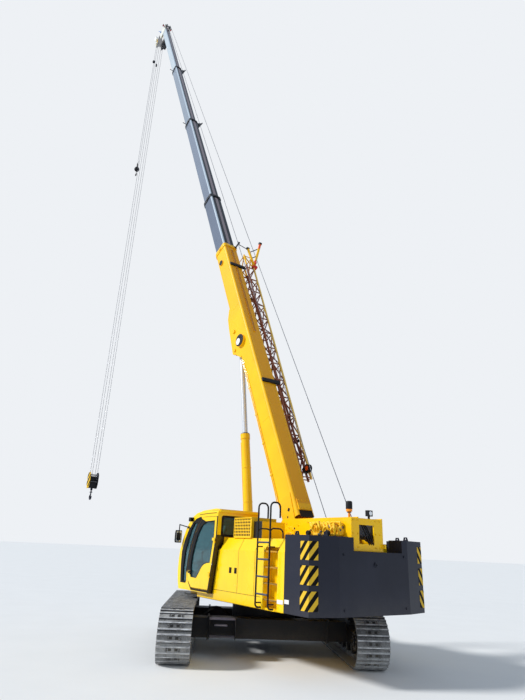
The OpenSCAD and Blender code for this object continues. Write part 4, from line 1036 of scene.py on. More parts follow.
def makeHousingSeams():
    lines, latches, plates, hinges = [], [], [], []
    y, bottom, shoulder, proud = (housingSet[key] for key in ("side", "low", "shoulder", "proud"))
    slope, latchZ = np.array([0.0, 0.88, 0.475]), 1.62
    for side, seams, sill, spots in housingSet["doors"]:
        flip, outward = np.array([1, side, 1]), (0, side, 0)
        runs = [((sill[0], y, bottom), (sill[1], y, bottom), outward)]
        for x in seams:
            runs.append(((x, y, bottom), (x, y, shoulder), outward))
            runs.append(((x, y, shoulder), (x, *housingSet["slopeTop"]), slope * flip))
        lines += [strip(np.array([a, b]) * flip, housingSet["seam"], facing, proud) for a, b, facing in runs]
        for x in (-1.75, -0.66):
            top = high("left_housing")[2]
            lines.append(strip([(x, side * 0.42, top), (x, side * 1.30, top)], 0.006, up, 0.0015))
        for x in spots:
            plate = (x - 0.045, x + 0.045), (y - 0.001, y + 0.006), (latchZ - 0.055, latchZ + 0.055)
            paddle = (x - 0.028, x + 0.028), (y + 0.004, y + 0.016), (latchZ - 0.04, latchZ + 0.04)
            plates.append(block(*sideBox(side, *plate)))
            latches.append(softBlock(*sideBox(side, *paddle), 0.35))
        if side < 0:
            hinges = [turned([(0.011, -0.05), (0.011, 0.05)], (x + 0.03, side * (y + 0.004), z), up, 10)
                      for x in seams for z in (1.38, 1.86)]
    piece("housing_seams", lines, "upper", "seamDark", smooth=0)
    piece("latch_plates", plates, "upper", "plastic", bevel=0.003)
    piece("latch_paddles", latches, "upper", "seamDark")
    piece("housing_hinges", hinges, "upper", "cabYellow")


# Main plates: rings of bolts (X, Z, radius, reach), spare bolts, and openings (X, Z, radius) shown as dark
# discs of painted shade
plateSet = dict(face=0.341, rings=((-1.335, 2.353, 0.158, 0.356), (0.585, 1.40, 0.062, 0.3785)),
                spare=((-1.62, 2.56), (-1.62, 2.42), (-1.22, 2.60), (-0.95, 2.44), (-1.95, 2.62), (-2.25, 2.62),
                       (-2.85, 2.62), (-3.3, 2.62)),
                openings=((-2.10, 2.46, 0.05), (-1.50, 2.50, 0.022), (-2.84, 2.50, 0.045)))


def makePlateBolts():
    bolts, holes = [], []
    for side in (-1, 1):
        face = (0, side, 0)
        for x, z, radius, reach in plateSet["rings"]:
            bolts.append(boltsAt(circle((x, side * reach, z), radius, 0, 315, 8), face, 0.012, 0.012))
        spare = [(x, side * plateSet["face"], z) for x, z in plateSet["spare"]]
        bolts.append(boltsAt(spare, face, 0.016, 0.014))
        keeper = [(0.045, 0.0), (0.045, 0.012), (0.03, 0.016)]
        bolts.append(turned(keeper, (-1.335, side * 0.40, 2.353), face, 20))
        # Dark discs at the openings: painted shade
        for x, z, radius in plateSet["openings"]:
            holes.append(turned([(radius, 0.0), (radius, 0.002)], (x, side * 0.3405, z), face, 16))
    edge = [(-3.393, y, z) for y in (-0.25, -0.14, 0.34, 0.46) for z in (2.16, 2.4, 2.64)]
    bolts.append(boltsAt(edge, rear, 0.013, 0.012))
    piece("plate_bolts", bolts, "upper", "yellow")
    piece("plate_openings", holes, "upper", "seamDark", "black_paint", smooth=0)


# Yellow hoses heaped beside the main plate: each is a tilted, squeezed loop whose turns wander.
hoseSet = dict(radius=0.023, loops=22, low=(-3.20, 0.44, 2.335), high=(-2.38, 0.80, 2.615), turns=1.35,
               upright=(0.2, 1, 0.1), points=56)


def makeHosePile():
    start, end, r = np.array(hoseSet["low"]), np.array(hoseSet["high"]), hoseSet["radius"]
    inner, outer, t = start + r * 1.2, end - r * 1.2, np.linspace(0, 1, hoseSet["points"])
    strands, cuffs = [], []
    for k in range(hoseSet["loops"]):
        share = (k + 0.5) / hoseSet["loops"]
        phase = random.uniform(0, 2 * np.pi)
        angle = phase + 2 * np.pi * hoseSet["turns"] * t
        wide, tall, lean = random.uniform(0.10, 0.17), random.uniform(0.075, 0.13), random.uniform(-0.5, 0.5)
        aside, rise = random.uniform(0.53, 0.71), random.uniform(0.0, 0.03)
        x = start[0] + share * (end[0] - start[0]) + wide * np.cos(angle) + 0.05 * (t - 0.5)
        y = aside + lean * wide * np.cos(angle) + 0.05 * (t - 0.5) + 0.015 * np.sin(3 * angle)
        z = start[2] + tall + rise + tall * np.sin(angle) + 0.012 * np.sin(5 * angle + phase)
        path = np.clip(np.column_stack([x, y, z]), inner, outer)
        strands.append(tube(path, r, hoseSet["upright"]))
        cuffs += [tube(ending, r * 1.25, hoseSet["upright"]) for ending in (path[:3], path[-3:])]
    for k in range(7):
        x = start[0] + 0.04 + k * 0.09
        path = smoothPath([(x, 0.46, 2.345), (x + 0.03, 0.60, 2.36 + 0.03 * (k % 3)),
                           (x + 0.11, 0.70, 2.50 + 0.02 * (k % 2)), (x + 0.20, 0.66, 2.57),
                           (x + 0.27, 0.56, 2.46), (x + 0.24, 0.47, 2.38)], 7)
        strands.append(tube(np.clip(path, inner, outer), r, hoseSet["upright"]))
    piece("hose_pile", strands, "upper", "hoseYellow", replaces=("hose_bundle",))
    piece("hose_cuffs", cuffs, "upper", "castSteel", "ring_steel")
    roll, rollers = [(0.018, 0), (0.045, 0), (0.05, 0.01), (0.05, 0.06), (0.045, 0.07), (0.018, 0.07)], []
    for x in (-2.52, -3.07):
        rollers.append(turned(roll, (x, 0.775, 2.385), left, 20))
        rollers.append(block((x - 0.02, 0.785, 2.319), (x + 0.02, 0.815, 2.36)))
    piece("hose_rollers", rollers, "upper", "plastic")


def makeDeckParts():
    run = smoothPath([(-3.30, 0.114, 2.60), (-3.37, 0.10, 2.54), (-3.395, 0.03, 2.40), (-3.395, -0.05, 2.26),
                      (-3.37, -0.09, 2.18)])
    piece("frame_hoses", [tube(run + (0, s, 0), 0.013, front) for s in (0.0, 0.05, 0.11)], "upper", "rubber")
    # Rope wound on each drum: the profile along the shaft is a row of half rounds
    for name, x, layers in (("main", -2.56, 0.172), ("aux", -3.11, 0.160)):
        y = np.linspace(-0.238, 0.238, 241)
        r = layers - 0.008 + 0.008 * np.abs(np.cos(np.pi * (y + 0.238) / 0.017))
        profile = [(0.10, -0.238)] + list(zip(r, y)) + [(0.10, 0.238)]
        piece("rope_on_%s_drum" % name, turned(profile, (x, 0, 2.46), left, 40), "upper", "rope")
    at = (-2.95, 0.12, 2.70)
    cap = [(0.0625, 0.168), (0.066, 0.174), (0.066, 0.29), (0.060, 0.318), (0.03, 0.326)]
    mount = [turned(cap, at, up, 28),
             turned([(0.026, 0.10), (0.045, 0.104), (0.045, 0.116), (0.026, 0.12)], at, up, 28),
             block((-2.977, -0.142, 2.6775), (-2.923, 0.152, 2.703))]
    piece("beacon_mount", mount, "upper", "plastic", bevel=0.002)
    lens = turned([(0.038, 0), (0.040, 0.004), (0.03, 0.009)], (-3.3905, -0.02, 2.785), rear)
    piece("rear_lamp_lens", lens, "upper", "clearLens")
    sleeve = [(0.013, -0.175), (0.0165, -0.17), (0.0165, 0.17), (0.013, 0.175)]
    sleeves = [turned(sleeve, (-2.16, 1.62, z), front, 16) for z in (1.276, 1.576, 1.876, 2.176)]
    piece("ladder_sleeves", sleeves, "upper", "rungGrey")
    rail = [(0, 1.62, 1.13), (0, 1.618, 1.085), (0, 1.59, 1.05), (0, 1.545, 1.04), (0, 1.50, 1.04)]
    rails = [tube(smoothPath(rail, 5) + (x, 0, 0), 0.0165, front, 12) for x in (-2.36, -1.96)]
    piece("ladder_feet", rails, "upper", "black")
    screws = [(x, 1.4005, z) for x in (-1.385, -0.745) for z in (2.275, 2.46, 2.645)]
    piece("grille_screws", boltsAt(screws, left, 0.008, 0.006), "upper", "castSteel")
    piece("cooler_fins", block((-1.358, 1.352, 2.29), (-0.772, 1.3975, 2.628)), "upper", "seamDark", smooth=0)
    lid = [strip([(-0.74, y, 2.666), (-1.39, y, 2.666)], 0.006, up, 0.002) for y in (0.77, 1.39)]
    piece("grille_lid_seams", lid, "upper", "seamDark", smooth=0)
    bands = [[(0.062, 0.02), (0.075, 0.02), (0.075, 0.05), (0.062, 0.05)]]
    for z in (0.10, 0.18, 0.26):
        bands.append([(0.061, z), (0.066, z + 0.004), (0.066, z + 0.016), (0.061, z + 0.02)])
    bands = [turned(band, (-1.85, -1.10, 2.256), up) for band in bands]
    piece("exhaust_bands", bands, "upper", "castSteel", "ring_steel")


makeHazardPlates()
makeWeightParts()
makeHousingSeams()
makePlateBolts()
makeHosePile()
makeDeckParts()
print("upper structure dressed")

# Cab: outlines on its left side, X and Z in metres, and the depths of its walls
cabSet = dict(
    outer=1.60, inner=0.48, glassFace=1.578, rubber=0.008, proud=0.003,
    doorWindow=((-0.134, 1.73), (0, 1.72), (0.14, 1.68), (0.24, 1.605), (0.32, 1.50), (0.43, 1.39),
                (0.69, 1.40), (0.725, 1.64), (0.69, 1.87), (0.61, 2.10), (0.50, 2.32), (0.35, 2.50),
                (0.16, 2.595), (-0.24, 2.61), (-0.24, 2.30)),
    quarter=((0.88, 1.29), (1.065, 1.29), (1.09, 1.62), (1.055, 1.94), (0.935, 2.23), (0.83, 2.43),
             (0.69, 2.57), (0.535, 2.57), (0.69, 2.33), (0.81, 2.08), (0.88, 1.80), (0.915, 1.54)),
    doorFront=((0.865, 1.52), (0.83, 1.79), (0.755, 2.07), (0.635, 2.31), (0.47, 2.54), (0.34, 2.65)),
    pillarLine=((0.39, 2.705), (0.62, 2.66), (0.78, 2.57), (0.96, 2.41), (1.11, 2.19), (1.215, 1.93),
                (1.21, 1.62), (1.165, 1.26)),
    rearBand=((-0.146, 1.125), (-0.103, 1.125), (-0.3225, 2.30), (-0.3225, 2.70), (-0.3645, 2.70),
              (-0.3645, 2.30)),
    sill=((-0.10, 1.135), (0.63, 1.135), (0.80, 1.30), (0.79, 1.31), (0.62, 1.18), (-0.112, 1.18)),
)


# Rubber round an opening: the outline and its copy moved inwards, from the glass to just proud of the wall.
def windowRubber(outline, fromY, toY):
    outline = rounded(outline, 0.02, 4)
    hole = insetOutline(outline, cabSet["rubber"])[::-1]
    return holedPlate([outline, hole], (0, toY, 0), front, up, toY - fromY)


# A thin sheet on the cab's left wall.
def wallSheet(outlines, proud):
    return holedPlate(outlines, (0, cabSet["outer"] + proud, 0), front, up, 0.002)


def makeCabTrim():
    outer, proud, glass, inner = (cabSet[key] for key in ("outer", "proud", "glassFace", "inner"))
    doorRubber = windowRubber(cabSet["doorWindow"], glass, outer + proud)
    piece("door_window_rubber", doorRubber, "door", "rubber", smooth=0)
    rubbers = [windowRubber(cabSet["quarter"], glass, outer + proud),
               windowRubber(cabSet["doorWindow"], inner - proud, inner + 0.015)]
    piece("cab_window_rubber", rubbers, "upper", "rubber", smooth=0)
    # Black field of the door's front frame, between its window and its front edge
    edge = np.array(cabSet["doorFront"])
    window = np.array(cabSet["doorWindow"])[7:13] + (0.002, 0.002)
    field = np.concatenate([(edge - (0.001, 0.0))[::-1], [(0.845, 1.49), (0.706, 1.49)], window])
    piece("door_frame_black", wallSheet([field[::-1]], 0.0025), "door", "gloss", smooth=0)
    # The cab's own black field round the quarter glass, back to the door's gap
    field = np.concatenate([cabSet["pillarLine"], [(0.905, 1.26), (0.90, 1.49)], edge + (0.0075, 0.0)])
    skin = wallSheet([field[::-1], rounded(cabSet["quarter"], 0.02, 4)], 0.0025)
    piece("cab_pillar_black", skin, "upper", "gloss", smooth=0)
    shade = [wallSheet([cabSet[key]], 0.0015) for key in ("rearBand", "sill")]
    piece("door_gap_shade", shade, "upper", "seamDark", smooth=0)
    roofLine = [(0.64, outer - 0.012, 2.71), (0.46, outer - 0.002, 2.745), (0.13, outer + 0.001, 2.765),
                (-0.30, outer + 0.001, 2.772)]
    piece("roof_line", strip(roofLine, 0.012, left, 0.003), "upper", "seamDark", smooth=0)
    # Frame of the rear window: a ring in the plane of Y and Z whose front face lies nearer the glass
    x = low("cab_shell")[0] + 0.035
    rim = rounded([(0.555, 2.275), (1.505, 2.275), (1.505, 2.72), (0.555, 2.72)], 0.06, 6)
    hole = rounded([(0.602, 2.322), (1.458, 2.322), (1.458, 2.678), (0.602, 2.678)], 0.05, 6)
    points, faces = holedPlate([rim, hole[::-1]], (x + 0.002, 0, 0), left, up, 0.001)
    points = points - np.array([0.006, 0, 0]) * (points[:, 0:1] > x + 0.0025)
    piece("rear_window_frame", (points, [face[::-1] for face in faces]), "upper", "rubber", smooth=0)


def makeCabFittings():
    x, z = 0.755, 1.515
    grip = smoothPath([(x - 0.06, 1.60, z), (x - 0.05, 1.640, z), (x, 1.648, z + 0.002), (x + 0.05, 1.640, z),
                       (x + 0.06, 1.60, z)], 6)
    cup = softBlock((x - 0.075, 1.5985, z - 0.04), (x + 0.075, 1.606, z + 0.04), 0.3)
    lock = turned([(0.012, 0), (0.012, 0.012), (0.009, 0.015)], (x - 0.05, 1.604, z - 0.055), left, 16)
    piece("door_grip", [tube(grip, 0.010, sides=10), cup, lock], "door", "plastic")
    piece("door_catch", softBlock((-0.285, 1.597, 1.668), (-0.249, 1.624, 1.722), 0.4), "upper", "plastic")
    face = turned([(0.010, 0), (0.010, 0.004)], (-0.268, 1.6235, 1.705), left, 12)
    piece("door_catch_face", face, "upper", "white")
    spine = smoothPath([(1.345, 1.04, 1.70), (1.372, 1.01, 1.78), (1.355, 0.88, 1.98), (1.30, 0.80, 2.12)], 6)
    blade = smoothPath([(1.375, 0.94, 1.80), (1.345, 0.85, 2.0), (1.27, 0.77, 2.18), (1.19, 0.72, 2.33)], 6)
    motor = turned([(0.03, -0.01), (0.03, 0.03), (0.018, 0.04)], (1.335, 1.04, 1.70), front, 20)
    piece("wiper", [tube(spine, 0.008), tube(blade, 0.006, sides=6), motor], "upper", "plastic")
    x, z0, z1 = high("mirrors")[0] - 0.014, 2.12, 2.40
    case = softBlock((x - 0.018, 1.622, z0 - 0.002), (x + 0.030, 1.798, z1 + 0.002), 0.35)
    piece("mirror_case", case, "upper", "plastic")
    face = rounded([(1.64, z0 + 0.02), (1.78, z0 + 0.02), (1.78, z1 - 0.02), (1.64, z1 - 0.02)], 0.03, 5)
    plate = holedPlate([face[::-1]], (x - 0.0175, 0, 0), left, up, 0.003)
    piece("mirror_glass", plate, "upper", "mirrorGlass", smooth=0)
    lamp = (0.835, 1.645, 2.645)
    shell = turned([(0.03, -0.09), (0.047, -0.05), (0.048, -0.001), (0.042, 0.002)], lamp, front)
    piece("cab_lamp_shell", shell, "upper", "plastic")
    lens = turned([(0.036, 0), (0.04, 0.004), (0.028, 0.010)], lamp, front)
    piece("cab_lamp_lens", lens, "upper", "clearLens")


# Crowned pad: a superellipsoid pressed in along sewn channels and drawn in along the seam at its middle.
def cushion(lowCorner, highCorner, channels, depth, upward, squareness=0.34):
    a, b = np.asarray(lowCorner, float), np.asarray(highCorner, float)
    middle, half = (a + b) / 2, (b - a) / 2
    others = [k for k in range(3) if k != upward]

    def shape(u, v):
        rise, around = np.pi * (0.002 + 0.996 * u - 0.5), 2 * np.pi * v
        flat, p = bent(np.cos(rise), squareness), squareness
        first, second = flat * bent(np.cos(around), p), flat * bent(np.sin(around), p)
        crown = bent(np.sin(rise), p) * (1 - 0.10 * first**2 - 0.10 * second**2)
        out = np.zeros(u.shape + (3,))
        out[..., others[0]], out[..., others[1]], out[..., upward] = first, second, crown
        groove = np.exp(-((np.abs((first * channels / 2 + 0.5) % 1 - 0.5)) / 0.045) ** 2)
        seam = np.exp(-((crown / 0.10) ** 2))
        out = half * out
        out[..., upward] -= depth * groove * (np.sign(crown) * (np.abs(crown) > 0.5))
        return middle + out * (1 - 0.012 * seam[..., None])

    return cappedSurface(shape, 40, 64)


cabFloor = 1.166


def makeSeat():
    a, b, floor = low("seat"), high("seat"), cabFloor
    base = [softBlock((0.10, 0.86, floor), (0.50, 1.22, floor + 0.10), 0.2),
            softBlock((0.14, 0.90, floor + 0.09), (0.46, 1.18, floor + 0.30), 0.25)]
    for lift in np.arange(5) * 0.03 + 0.12:
        base.append(tube([(lift, 0.88, floor + lift), (lift, 1.20, floor + lift)], 0.012, front))
    piece("seat_pedestal", base, "upper", "plastic")
    sit = cushion((0.02, 0.81, floor + 0.30), (0.56, 1.27, floor + 0.43), 4, 0.010, 2)
    points, faces = cushion((-0.06, 0.83, floor + 0.40), (0.06, 1.25, floor + 0.92), 4, 0.009, 0)
    points[:, 0] -= 0.10 * np.clip((points[:, 2] - floor - 0.40) / 0.52, 0, 1) ** 1.5 - 0.04
    points[:, 0] = np.clip(points[:, 0], a[0], b[0])
    head = cushion((-0.078, 0.92, floor + 0.94), (0.0, 1.16, floor + 1.078), 1, 0.0, 0)
    pads = (("seat_cushion", sit, 0.8, ("seat",)), ("seat_backrest", (points, faces), 0.8, ()),
            ("seat_headrest", head, 0.9, ()))
    for name, shape, fill, solids in pads:
        piece(name, shape, "upper", "seatCloth", smooth=60, replaces=solids)
    arms = [tube([(-0.04, y, floor + 0.88), (-0.045, y, floor + 1.0)], 0.008, left) for y in (0.99, 1.09)]
    arms += [softBlock((0.02, y - 0.035, floor + 0.56), (0.34, y + 0.035, floor + 0.61), 0.35)
             for y in (0.775, 1.305)]
    piece("seat_arms", arms, "upper", "plastic")


def makeControls():
    floor, parts = cabFloor, []
    knob = [(0.012, 0), (0.026, 0.02), (0.030, 0.05), (0.022, 0.075), (0.006, 0.085)]
    boot = [(0.055, 0), (0.05, 0.02), (0.028, 0.05), (0.018, 0.085)]
    for y in (0.685, 1.395):
        parts.append(turned(knob, (0.578, y, floor + 0.715), up, 20))
        parts.append(turned(boot, (0.562, y, floor + 0.556), up, 20))
    parts.append(softBlock((1.055, 0.74, floor + 0.33), (1.105, 1.02, floor + 0.53), 0.25))
    stalk = smoothPath([(1.12, 0.88, floor + 0.32), (1.11, 0.88, floor + 0.36), (1.09, 0.88, floor + 0.40)], 5)
    parts.append(tube(stalk, 0.014, left))
    for y in (0.92, 1.10):
        pedal = smoothPath([(1.04, y, floor + 0.01), (1.02, y, floor + 0.10), (0.98, y, floor + 0.16)], 5)
        parts += [tube(pedal, 0.012, left),
                  softBlock((0.93, y - 0.045, floor + 0.135), (1.0, y + 0.045, floor + 0.165), 0.35)]
    piece("cab_controls", parts, "upper", "plastic")
    screen = block((1.0535, 0.76, floor + 0.35), (1.056, 1.0, floor + 0.51))
    piece("cab_screen", screen, "upper", "gloss", bevel=0.002)


makeCabTrim()
makeCabFittings()
makeSeat()
makeControls()
print("cab dressed")

# Boom: places along it, across it and over the foot line, in metres
boomSet = dict(half=0.250, ends=(10.400, 13.680, 20.530, 27.380, 34.230), top=0.328, collarUp=0.022, mid=0.012,
               stepWide=0.025, stepDeep=0.027)
sections = ("boom", "section_2", "section_3", "section_4", "section_5")


# A flat round cap on the boom's left side, its rim eased.
def boomDisc(t, o, radius, height, rim, base):
    profile = [(radius * 0.96, 0), (radius, rim), (radius, height - rim), (radius - rim, height),
               (0.004, height)]
    return turned(profile, onBoom((t, base, o)), left, 40)


def makeBaseDetails():
    caps = [boomDisc(6.0, -0.05, 0.192, 0.012, 0.003, 0.3185),
            boomDisc(9.69, -0.04, 0.096, 0.01, 0.003, 0.2825)]
    piece("side_caps", caps, "boom", "black")
    # White disc off the middle of the large black cap: painted highlight
    piece("side_cap_faces", boomDisc(6.0, -0.118, 0.105, 0.006, 0.002, 0.3295), "boom", "white")
    screws = onBoom(circle((6.0, 0.3305, -0.05), 0.155, 0, 330, 12))
    piece("side_cap_screws", boltsAt(screws, left, 0.012, 0.010), "boom", "castSteel")
    welds = [((0.78, y, 0.340), (10.15, y, 0.340), 0.012, boomUp, 0.003) for y in (-0.16, 0.16)]
    for side in (-1, 1):
        welds.append(((0.95, side * 0.250, 0.262), (10.2, side * 0.250, 0.262), 0.014, (0, side, 0), 0.003))
        for t in (3.05, 7.35):
            welds.append(((t, side * 0.250, -0.05), (t, side * 0.250, 0.27), 0.012, (0, side, 0), 0.0025))
    lines = [strip(onBoom([a, b]), width, facing, proud) for a, b, width, facing, proud in welds]
    piece("weld_lines", lines, "boom", "yellow")
    shade = [boomBlock((0.285, -0.19, 0.3385), (0.445, 0.19, 0.3425))]
    for y in (0.264, -0.255):
        for t, o, r in ((0.56, 0.10, 0.060), (0.43, 0.005, 0.040)):
            diamond = [(t - r, o), (t, o - r), (t + r, o), (t, o + r)]
            shade.append(placed(slab(diamond, (0, y, 0), front, up, 0.009), onBoom))
    piece("foot_shade", shade, "boom", "seamDark", "black_paint", smooth=0)
    # Two brown strips beside the ridge on the back: painted shadow lines
    ridge = [boomBlock((6.12, y - 0.008, 0.361), (10.08, y + 0.008, 0.366)) for y in (-0.022, 0.022)]
    piece("ridge_rail", ridge, "boom", "ridgeBrown")
    rail = onBoom([(t, y, 0.3625) for t in np.arange(6.3, 10.1, 0.42) for y in (-0.036, 0.036)])
    plate = onBoom([(t, y, 0.3675) for t in (0.49, 0.67) for y in (-0.15, -0.05, 0.05, 0.15)])
    bolts = [boltsAt(rail, boomUp, 0.010, 0.008), boltsAt(plate, boomUp, 0.014, 0.012)]
    piece("back_bolts", bolts, "boom", "yellow")
    pipe = smoothPath([(0.9, 0.262, -0.20), (1.5, 0.262, -0.17), (5.0, 0.262, -0.17), (5.3, 0.262, -0.19)], 5)
    pipes = [tube(onBoom(pipe - (0, 0, fall)), 0.011, left) for fall in (0, 0.045)]
    piece("boom_pipes", pipes, "boom", "yellow")
    clips = [boomBlock((t, 0.249, -0.24), (t + 0.03, 0.276, -0.15)) for t in (1.6, 2.5, 3.4, 4.3, 5.0)]
    piece("pipe_clips", clips, "boom", "yellow", bevel=0.003)


# Bolted pads and edges on the collar at each section's end.
def makeCollarDetails():
    for number, body in enumerate(sections[:4]):
        half = boomSet["half"] - number * boomSet["stepWide"]
        over = boomSet["mid"] + boomSet["top"] - number * boomSet["stepDeep"] + boomSet["collarUp"]
        end, aside = boomSet["ends"][number], half + boomSet["collarUp"]
        pads = [boomBlock((end - 0.13, -0.12, over - 0.002), (end - 0.02, 0.12, over + 0.014))]
        rows = [(end - x, y, over + 0.014) for x in (0.10, 0.05) for y in (-0.09, -0.03, 0.03, 0.09)]
        bolts = [boltsAt(onBoom(rows), boomUp, 0.010, 0.009)]
        for way in (-1, 1):
            pad = sideBox(way, (end - 0.13, end - 0.02), (aside - 0.002, aside + 0.016), (0.02, 0.14))
            rows = [(end - x, way * (aside + 0.016), z) for x in (0.10, 0.05) for z in (0.05, 0.11)]
            pads.append(boomBlock(*pad))
            bolts.append(boltsAt(onBoom(rows), (0, way, 0), 0.010, 0.009))
        look = "black" if number else "yellow"
        piece("collar_pads_%d" % (number + 1), pads, body, look, "black_paint", bevel=0.003)
        piece("collar_bolts_%d" % (number + 1), bolts, body, "castSteel")
        lip = boomBlock((end - 0.001, -half * 0.8, over - 0.030), (end + 0.008, half * 0.8, over - 0.004))
        piece("collar_lip_%d" % (number + 1), lip, body, "black", bevel=0.002)


# Hoist ropes over the boom's back: straight lines whose height over the foot line is start + slope t.
# Each section carries its own run, with a thinner part behind it that shows once the section is pushed out.
ropeSet = dict(radius=0.008, root=1.2, top=34.28, behind=(0.0, 4.0, 0.75, 0.75, 0.75),
               lines=(("main", 0.10, 0.983, -0.01495, -0.425), ("aux", -0.10, 1.472, -0.0292, -0.659)))


# One rope's tube between two distances along the boom, a place every half metre or so.
def ropeRun(line, t0, t1, radius):
    y, start, slope = line[1:4]
    t = np.linspace(t0, t1, max(2, int((t1 - t0) / 0.5)))
    return tube(onBoom(np.column_stack([t, np.full(len(t), y), start + slope * t])), radius, left)


def makeHoistRopes():
    limits, radius = (ropeSet["root"],) + boomSet["ends"][:4] + (ropeSet["top"],), ropeSet["radius"]
    for body, t0, t1, behind in zip(sections, limits, limits[1:], ropeSet["behind"]):
        runs = [ropeRun(line, t0, t1, radius) for line in ropeSet["lines"]]
        if behind:
            runs += [ropeRun(line, t0 - behind - 0.05, t0, radius * 0.8) for line in ropeSet["lines"]]
        piece("hoist_rope_" + body, runs, body, "rope")
    # From the drums to the boom's root, straight between two places on the rope lines
    for name, y, start, slope, leave in ropeSet["lines"]:
        ends = onBoom([(t, y, start + slope * t) for t in (leave, ropeSet["root"])])
        rope = piece("drum_rope_" + name, tube(along(ends[0], ends[1], 24), radius, left), "", "rope")
        tuple(ends[0])
        tuple(ends[1])
        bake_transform(rope)


makeBaseDetails()
makeCollarDetails()
makeHoistRopes()
print("boom dressed")

# Head of the boom and what hangs from it; each sheave has its place and the radius of its ring of bolts
headSet = dict(end=34.23, back=0.232, face=0.1705, sheaves=((34.17, -0.82, 0.16), (33.23, -0.56, 0.10)),
               keepers=(15, 60), keeperReach=0.235)


def makeHeadDetails():
    end, back, face = headSet["end"], headSet["back"], headSet["face"]
    edge = smoothPath([(end + 0.44, 0, 0.168), (end + 0.80, 0, 0.0), (end + 0.905, 0, -0.08),
                       (end + 0.932, 0, -0.6), (end + 0.934, 0, -1.07)], 6)
    outward = unit(boomAxis * 0.85 + boomUp * 0.25)
    piece("arm_edge", strip(onBoom(edge), 0.172, outward, 0.010), "section_5", "white", smooth=30)
    gauge = placed(softBlock((35.08, 0.085, -1.05), (35.56, 0.215, -0.82), 0.2), onBoom)
    piece("head_box", gauge, "section_5", "white")
    bracket = boomBlock((end + 0.62, 0.079, -1.00), (35.12, 0.10, -0.86))
    piece("head_box_bracket", bracket, "section_5", "yellow", bevel=0.003)
    arm = onBoom([(34.74, 0.175, -0.27), (35.0, 0.185, -0.335), (35.25, 0.19, -0.40), (35.42, 0.195, -0.445)])
    feeler = [tube(arm, [0.022, 0.020, 0.018, 0.012], left, 10),
              boomBlock((34.70, 0.168, -0.33), (34.84, 0.20, -0.23))]
    piece("wind_feeler", feeler, "section_5", "blue", bevel=0.003)
    lamps, lenses, nuts = [], [], []
    for y in (-0.30, 0.24):
        shell = softBlock((end + 0.195, y - 0.004, back - 0.07), (end + 0.325, y + 0.064, back + 0.048), 0.25)
        lamps.append(placed(shell, onBoom))
        spot = onBoom((end + 0.197, y + 0.03, back - 0.01))
        lenses.append(turned([(0.030, 0), (0.034, 0.004), (0.02, 0.012)], spot, -boomAxis, 20))
    piece("tip_lamps", lamps, "section_5", "plastic")
    piece("tip_lenses", lenses, "section_5", "redLens")
    cover = boomBlock((end + 0.20, -0.19, back - 0.012), (end + 0.32, 0.19, back + 0.004))
    piece("tip_cover", cover, "section_5", "palePink", bevel=0.003)
    for side in (-1, 1):
        for t, o, r in headSet["sheaves"]:
            ring = onBoom(circle((t, side * face, o), r, 0, 315, 8))
            nuts.append(boltsAt(ring, (0, side, 0), 0.011, 0.010))
        edge = onBoom([(t, side * face, -0.40) for t in (33.3, 33.6, 33.9)])
        nuts.append(boltsAt(edge, (0, side, 0), 0.012, 0.010))
    piece("head_bolts", nuts, "section_5", "castSteel")
    guards, (t, o, r) = [], headSet["sheaves"][0]
    for angle in headSet["keepers"]:
        rod = [circle((t, y, o), headSet["keeperReach"], angle, angle, 1)[0] for y in (-0.168, 0.168)]
        guards.append(tube(onBoom(rod), 0.010, front))
    piece("rope_keepers", guards, "section_5", "castSteel")


def makeRopeWeights():
    tip = (low("aux_fall")[0] + high("aux_fall")[0]) / 2
    ring = [(0.035, -0.05), (0.082, -0.05), (0.088, -0.04), (0.088, 0.04), (0.082, 0.05), (0.035, 0.05),
            (0.035, -0.05)]
    piece("aux_ring_weight", turned(ring, (tip, 0, 32.17), up), "aux_line", "tubeDark")
    weight = [(0.012, -0.10), (0.045, -0.09), (0.05, -0.07), (0.05, 0.07), (0.045, 0.09), (0.012, 0.10)]
    spot = (low("main_falls")[0] + 0.018, high("main_falls")[1] - 0.009, 30.8)
    piece("main_ring_weight", turned(weight, spot, up, 20), "falls", "tubeDark")
    thimble = [(0.010, -0.20), (0.02, -0.18), (0.028, 0.0), (0.03, 0.02), (0.012, 0.03)]
    socket = turned(thimble, (tip, 0, low("aux_fall")[2] + 0.18), up, 16)
    piece("aux_socket", socket, "aux_line", "castSteel")


blockSet = dict(cheek=0.196, pin=4.75, sheet=0.003, sheaves=(-0.125, -0.042, 0.042, 0.125),
                outline=((-0.20, 0.185), (-0.105, 0.318), (0.105, 0.318), (0.20, 0.185), (0.20, -0.196),
                         (0.113, -0.38), (-0.113, -0.38), (-0.20, -0.196)),
                cheekBolts=((-0.15, 0.14), (0.15, 0.14), (-0.15, -0.17), (0.15, -0.17), (0, 0.27)),
                stays=((-0.15, 0.22), (0.15, 0.22), (-0.19, -0.10), (0.19, -0.10)))


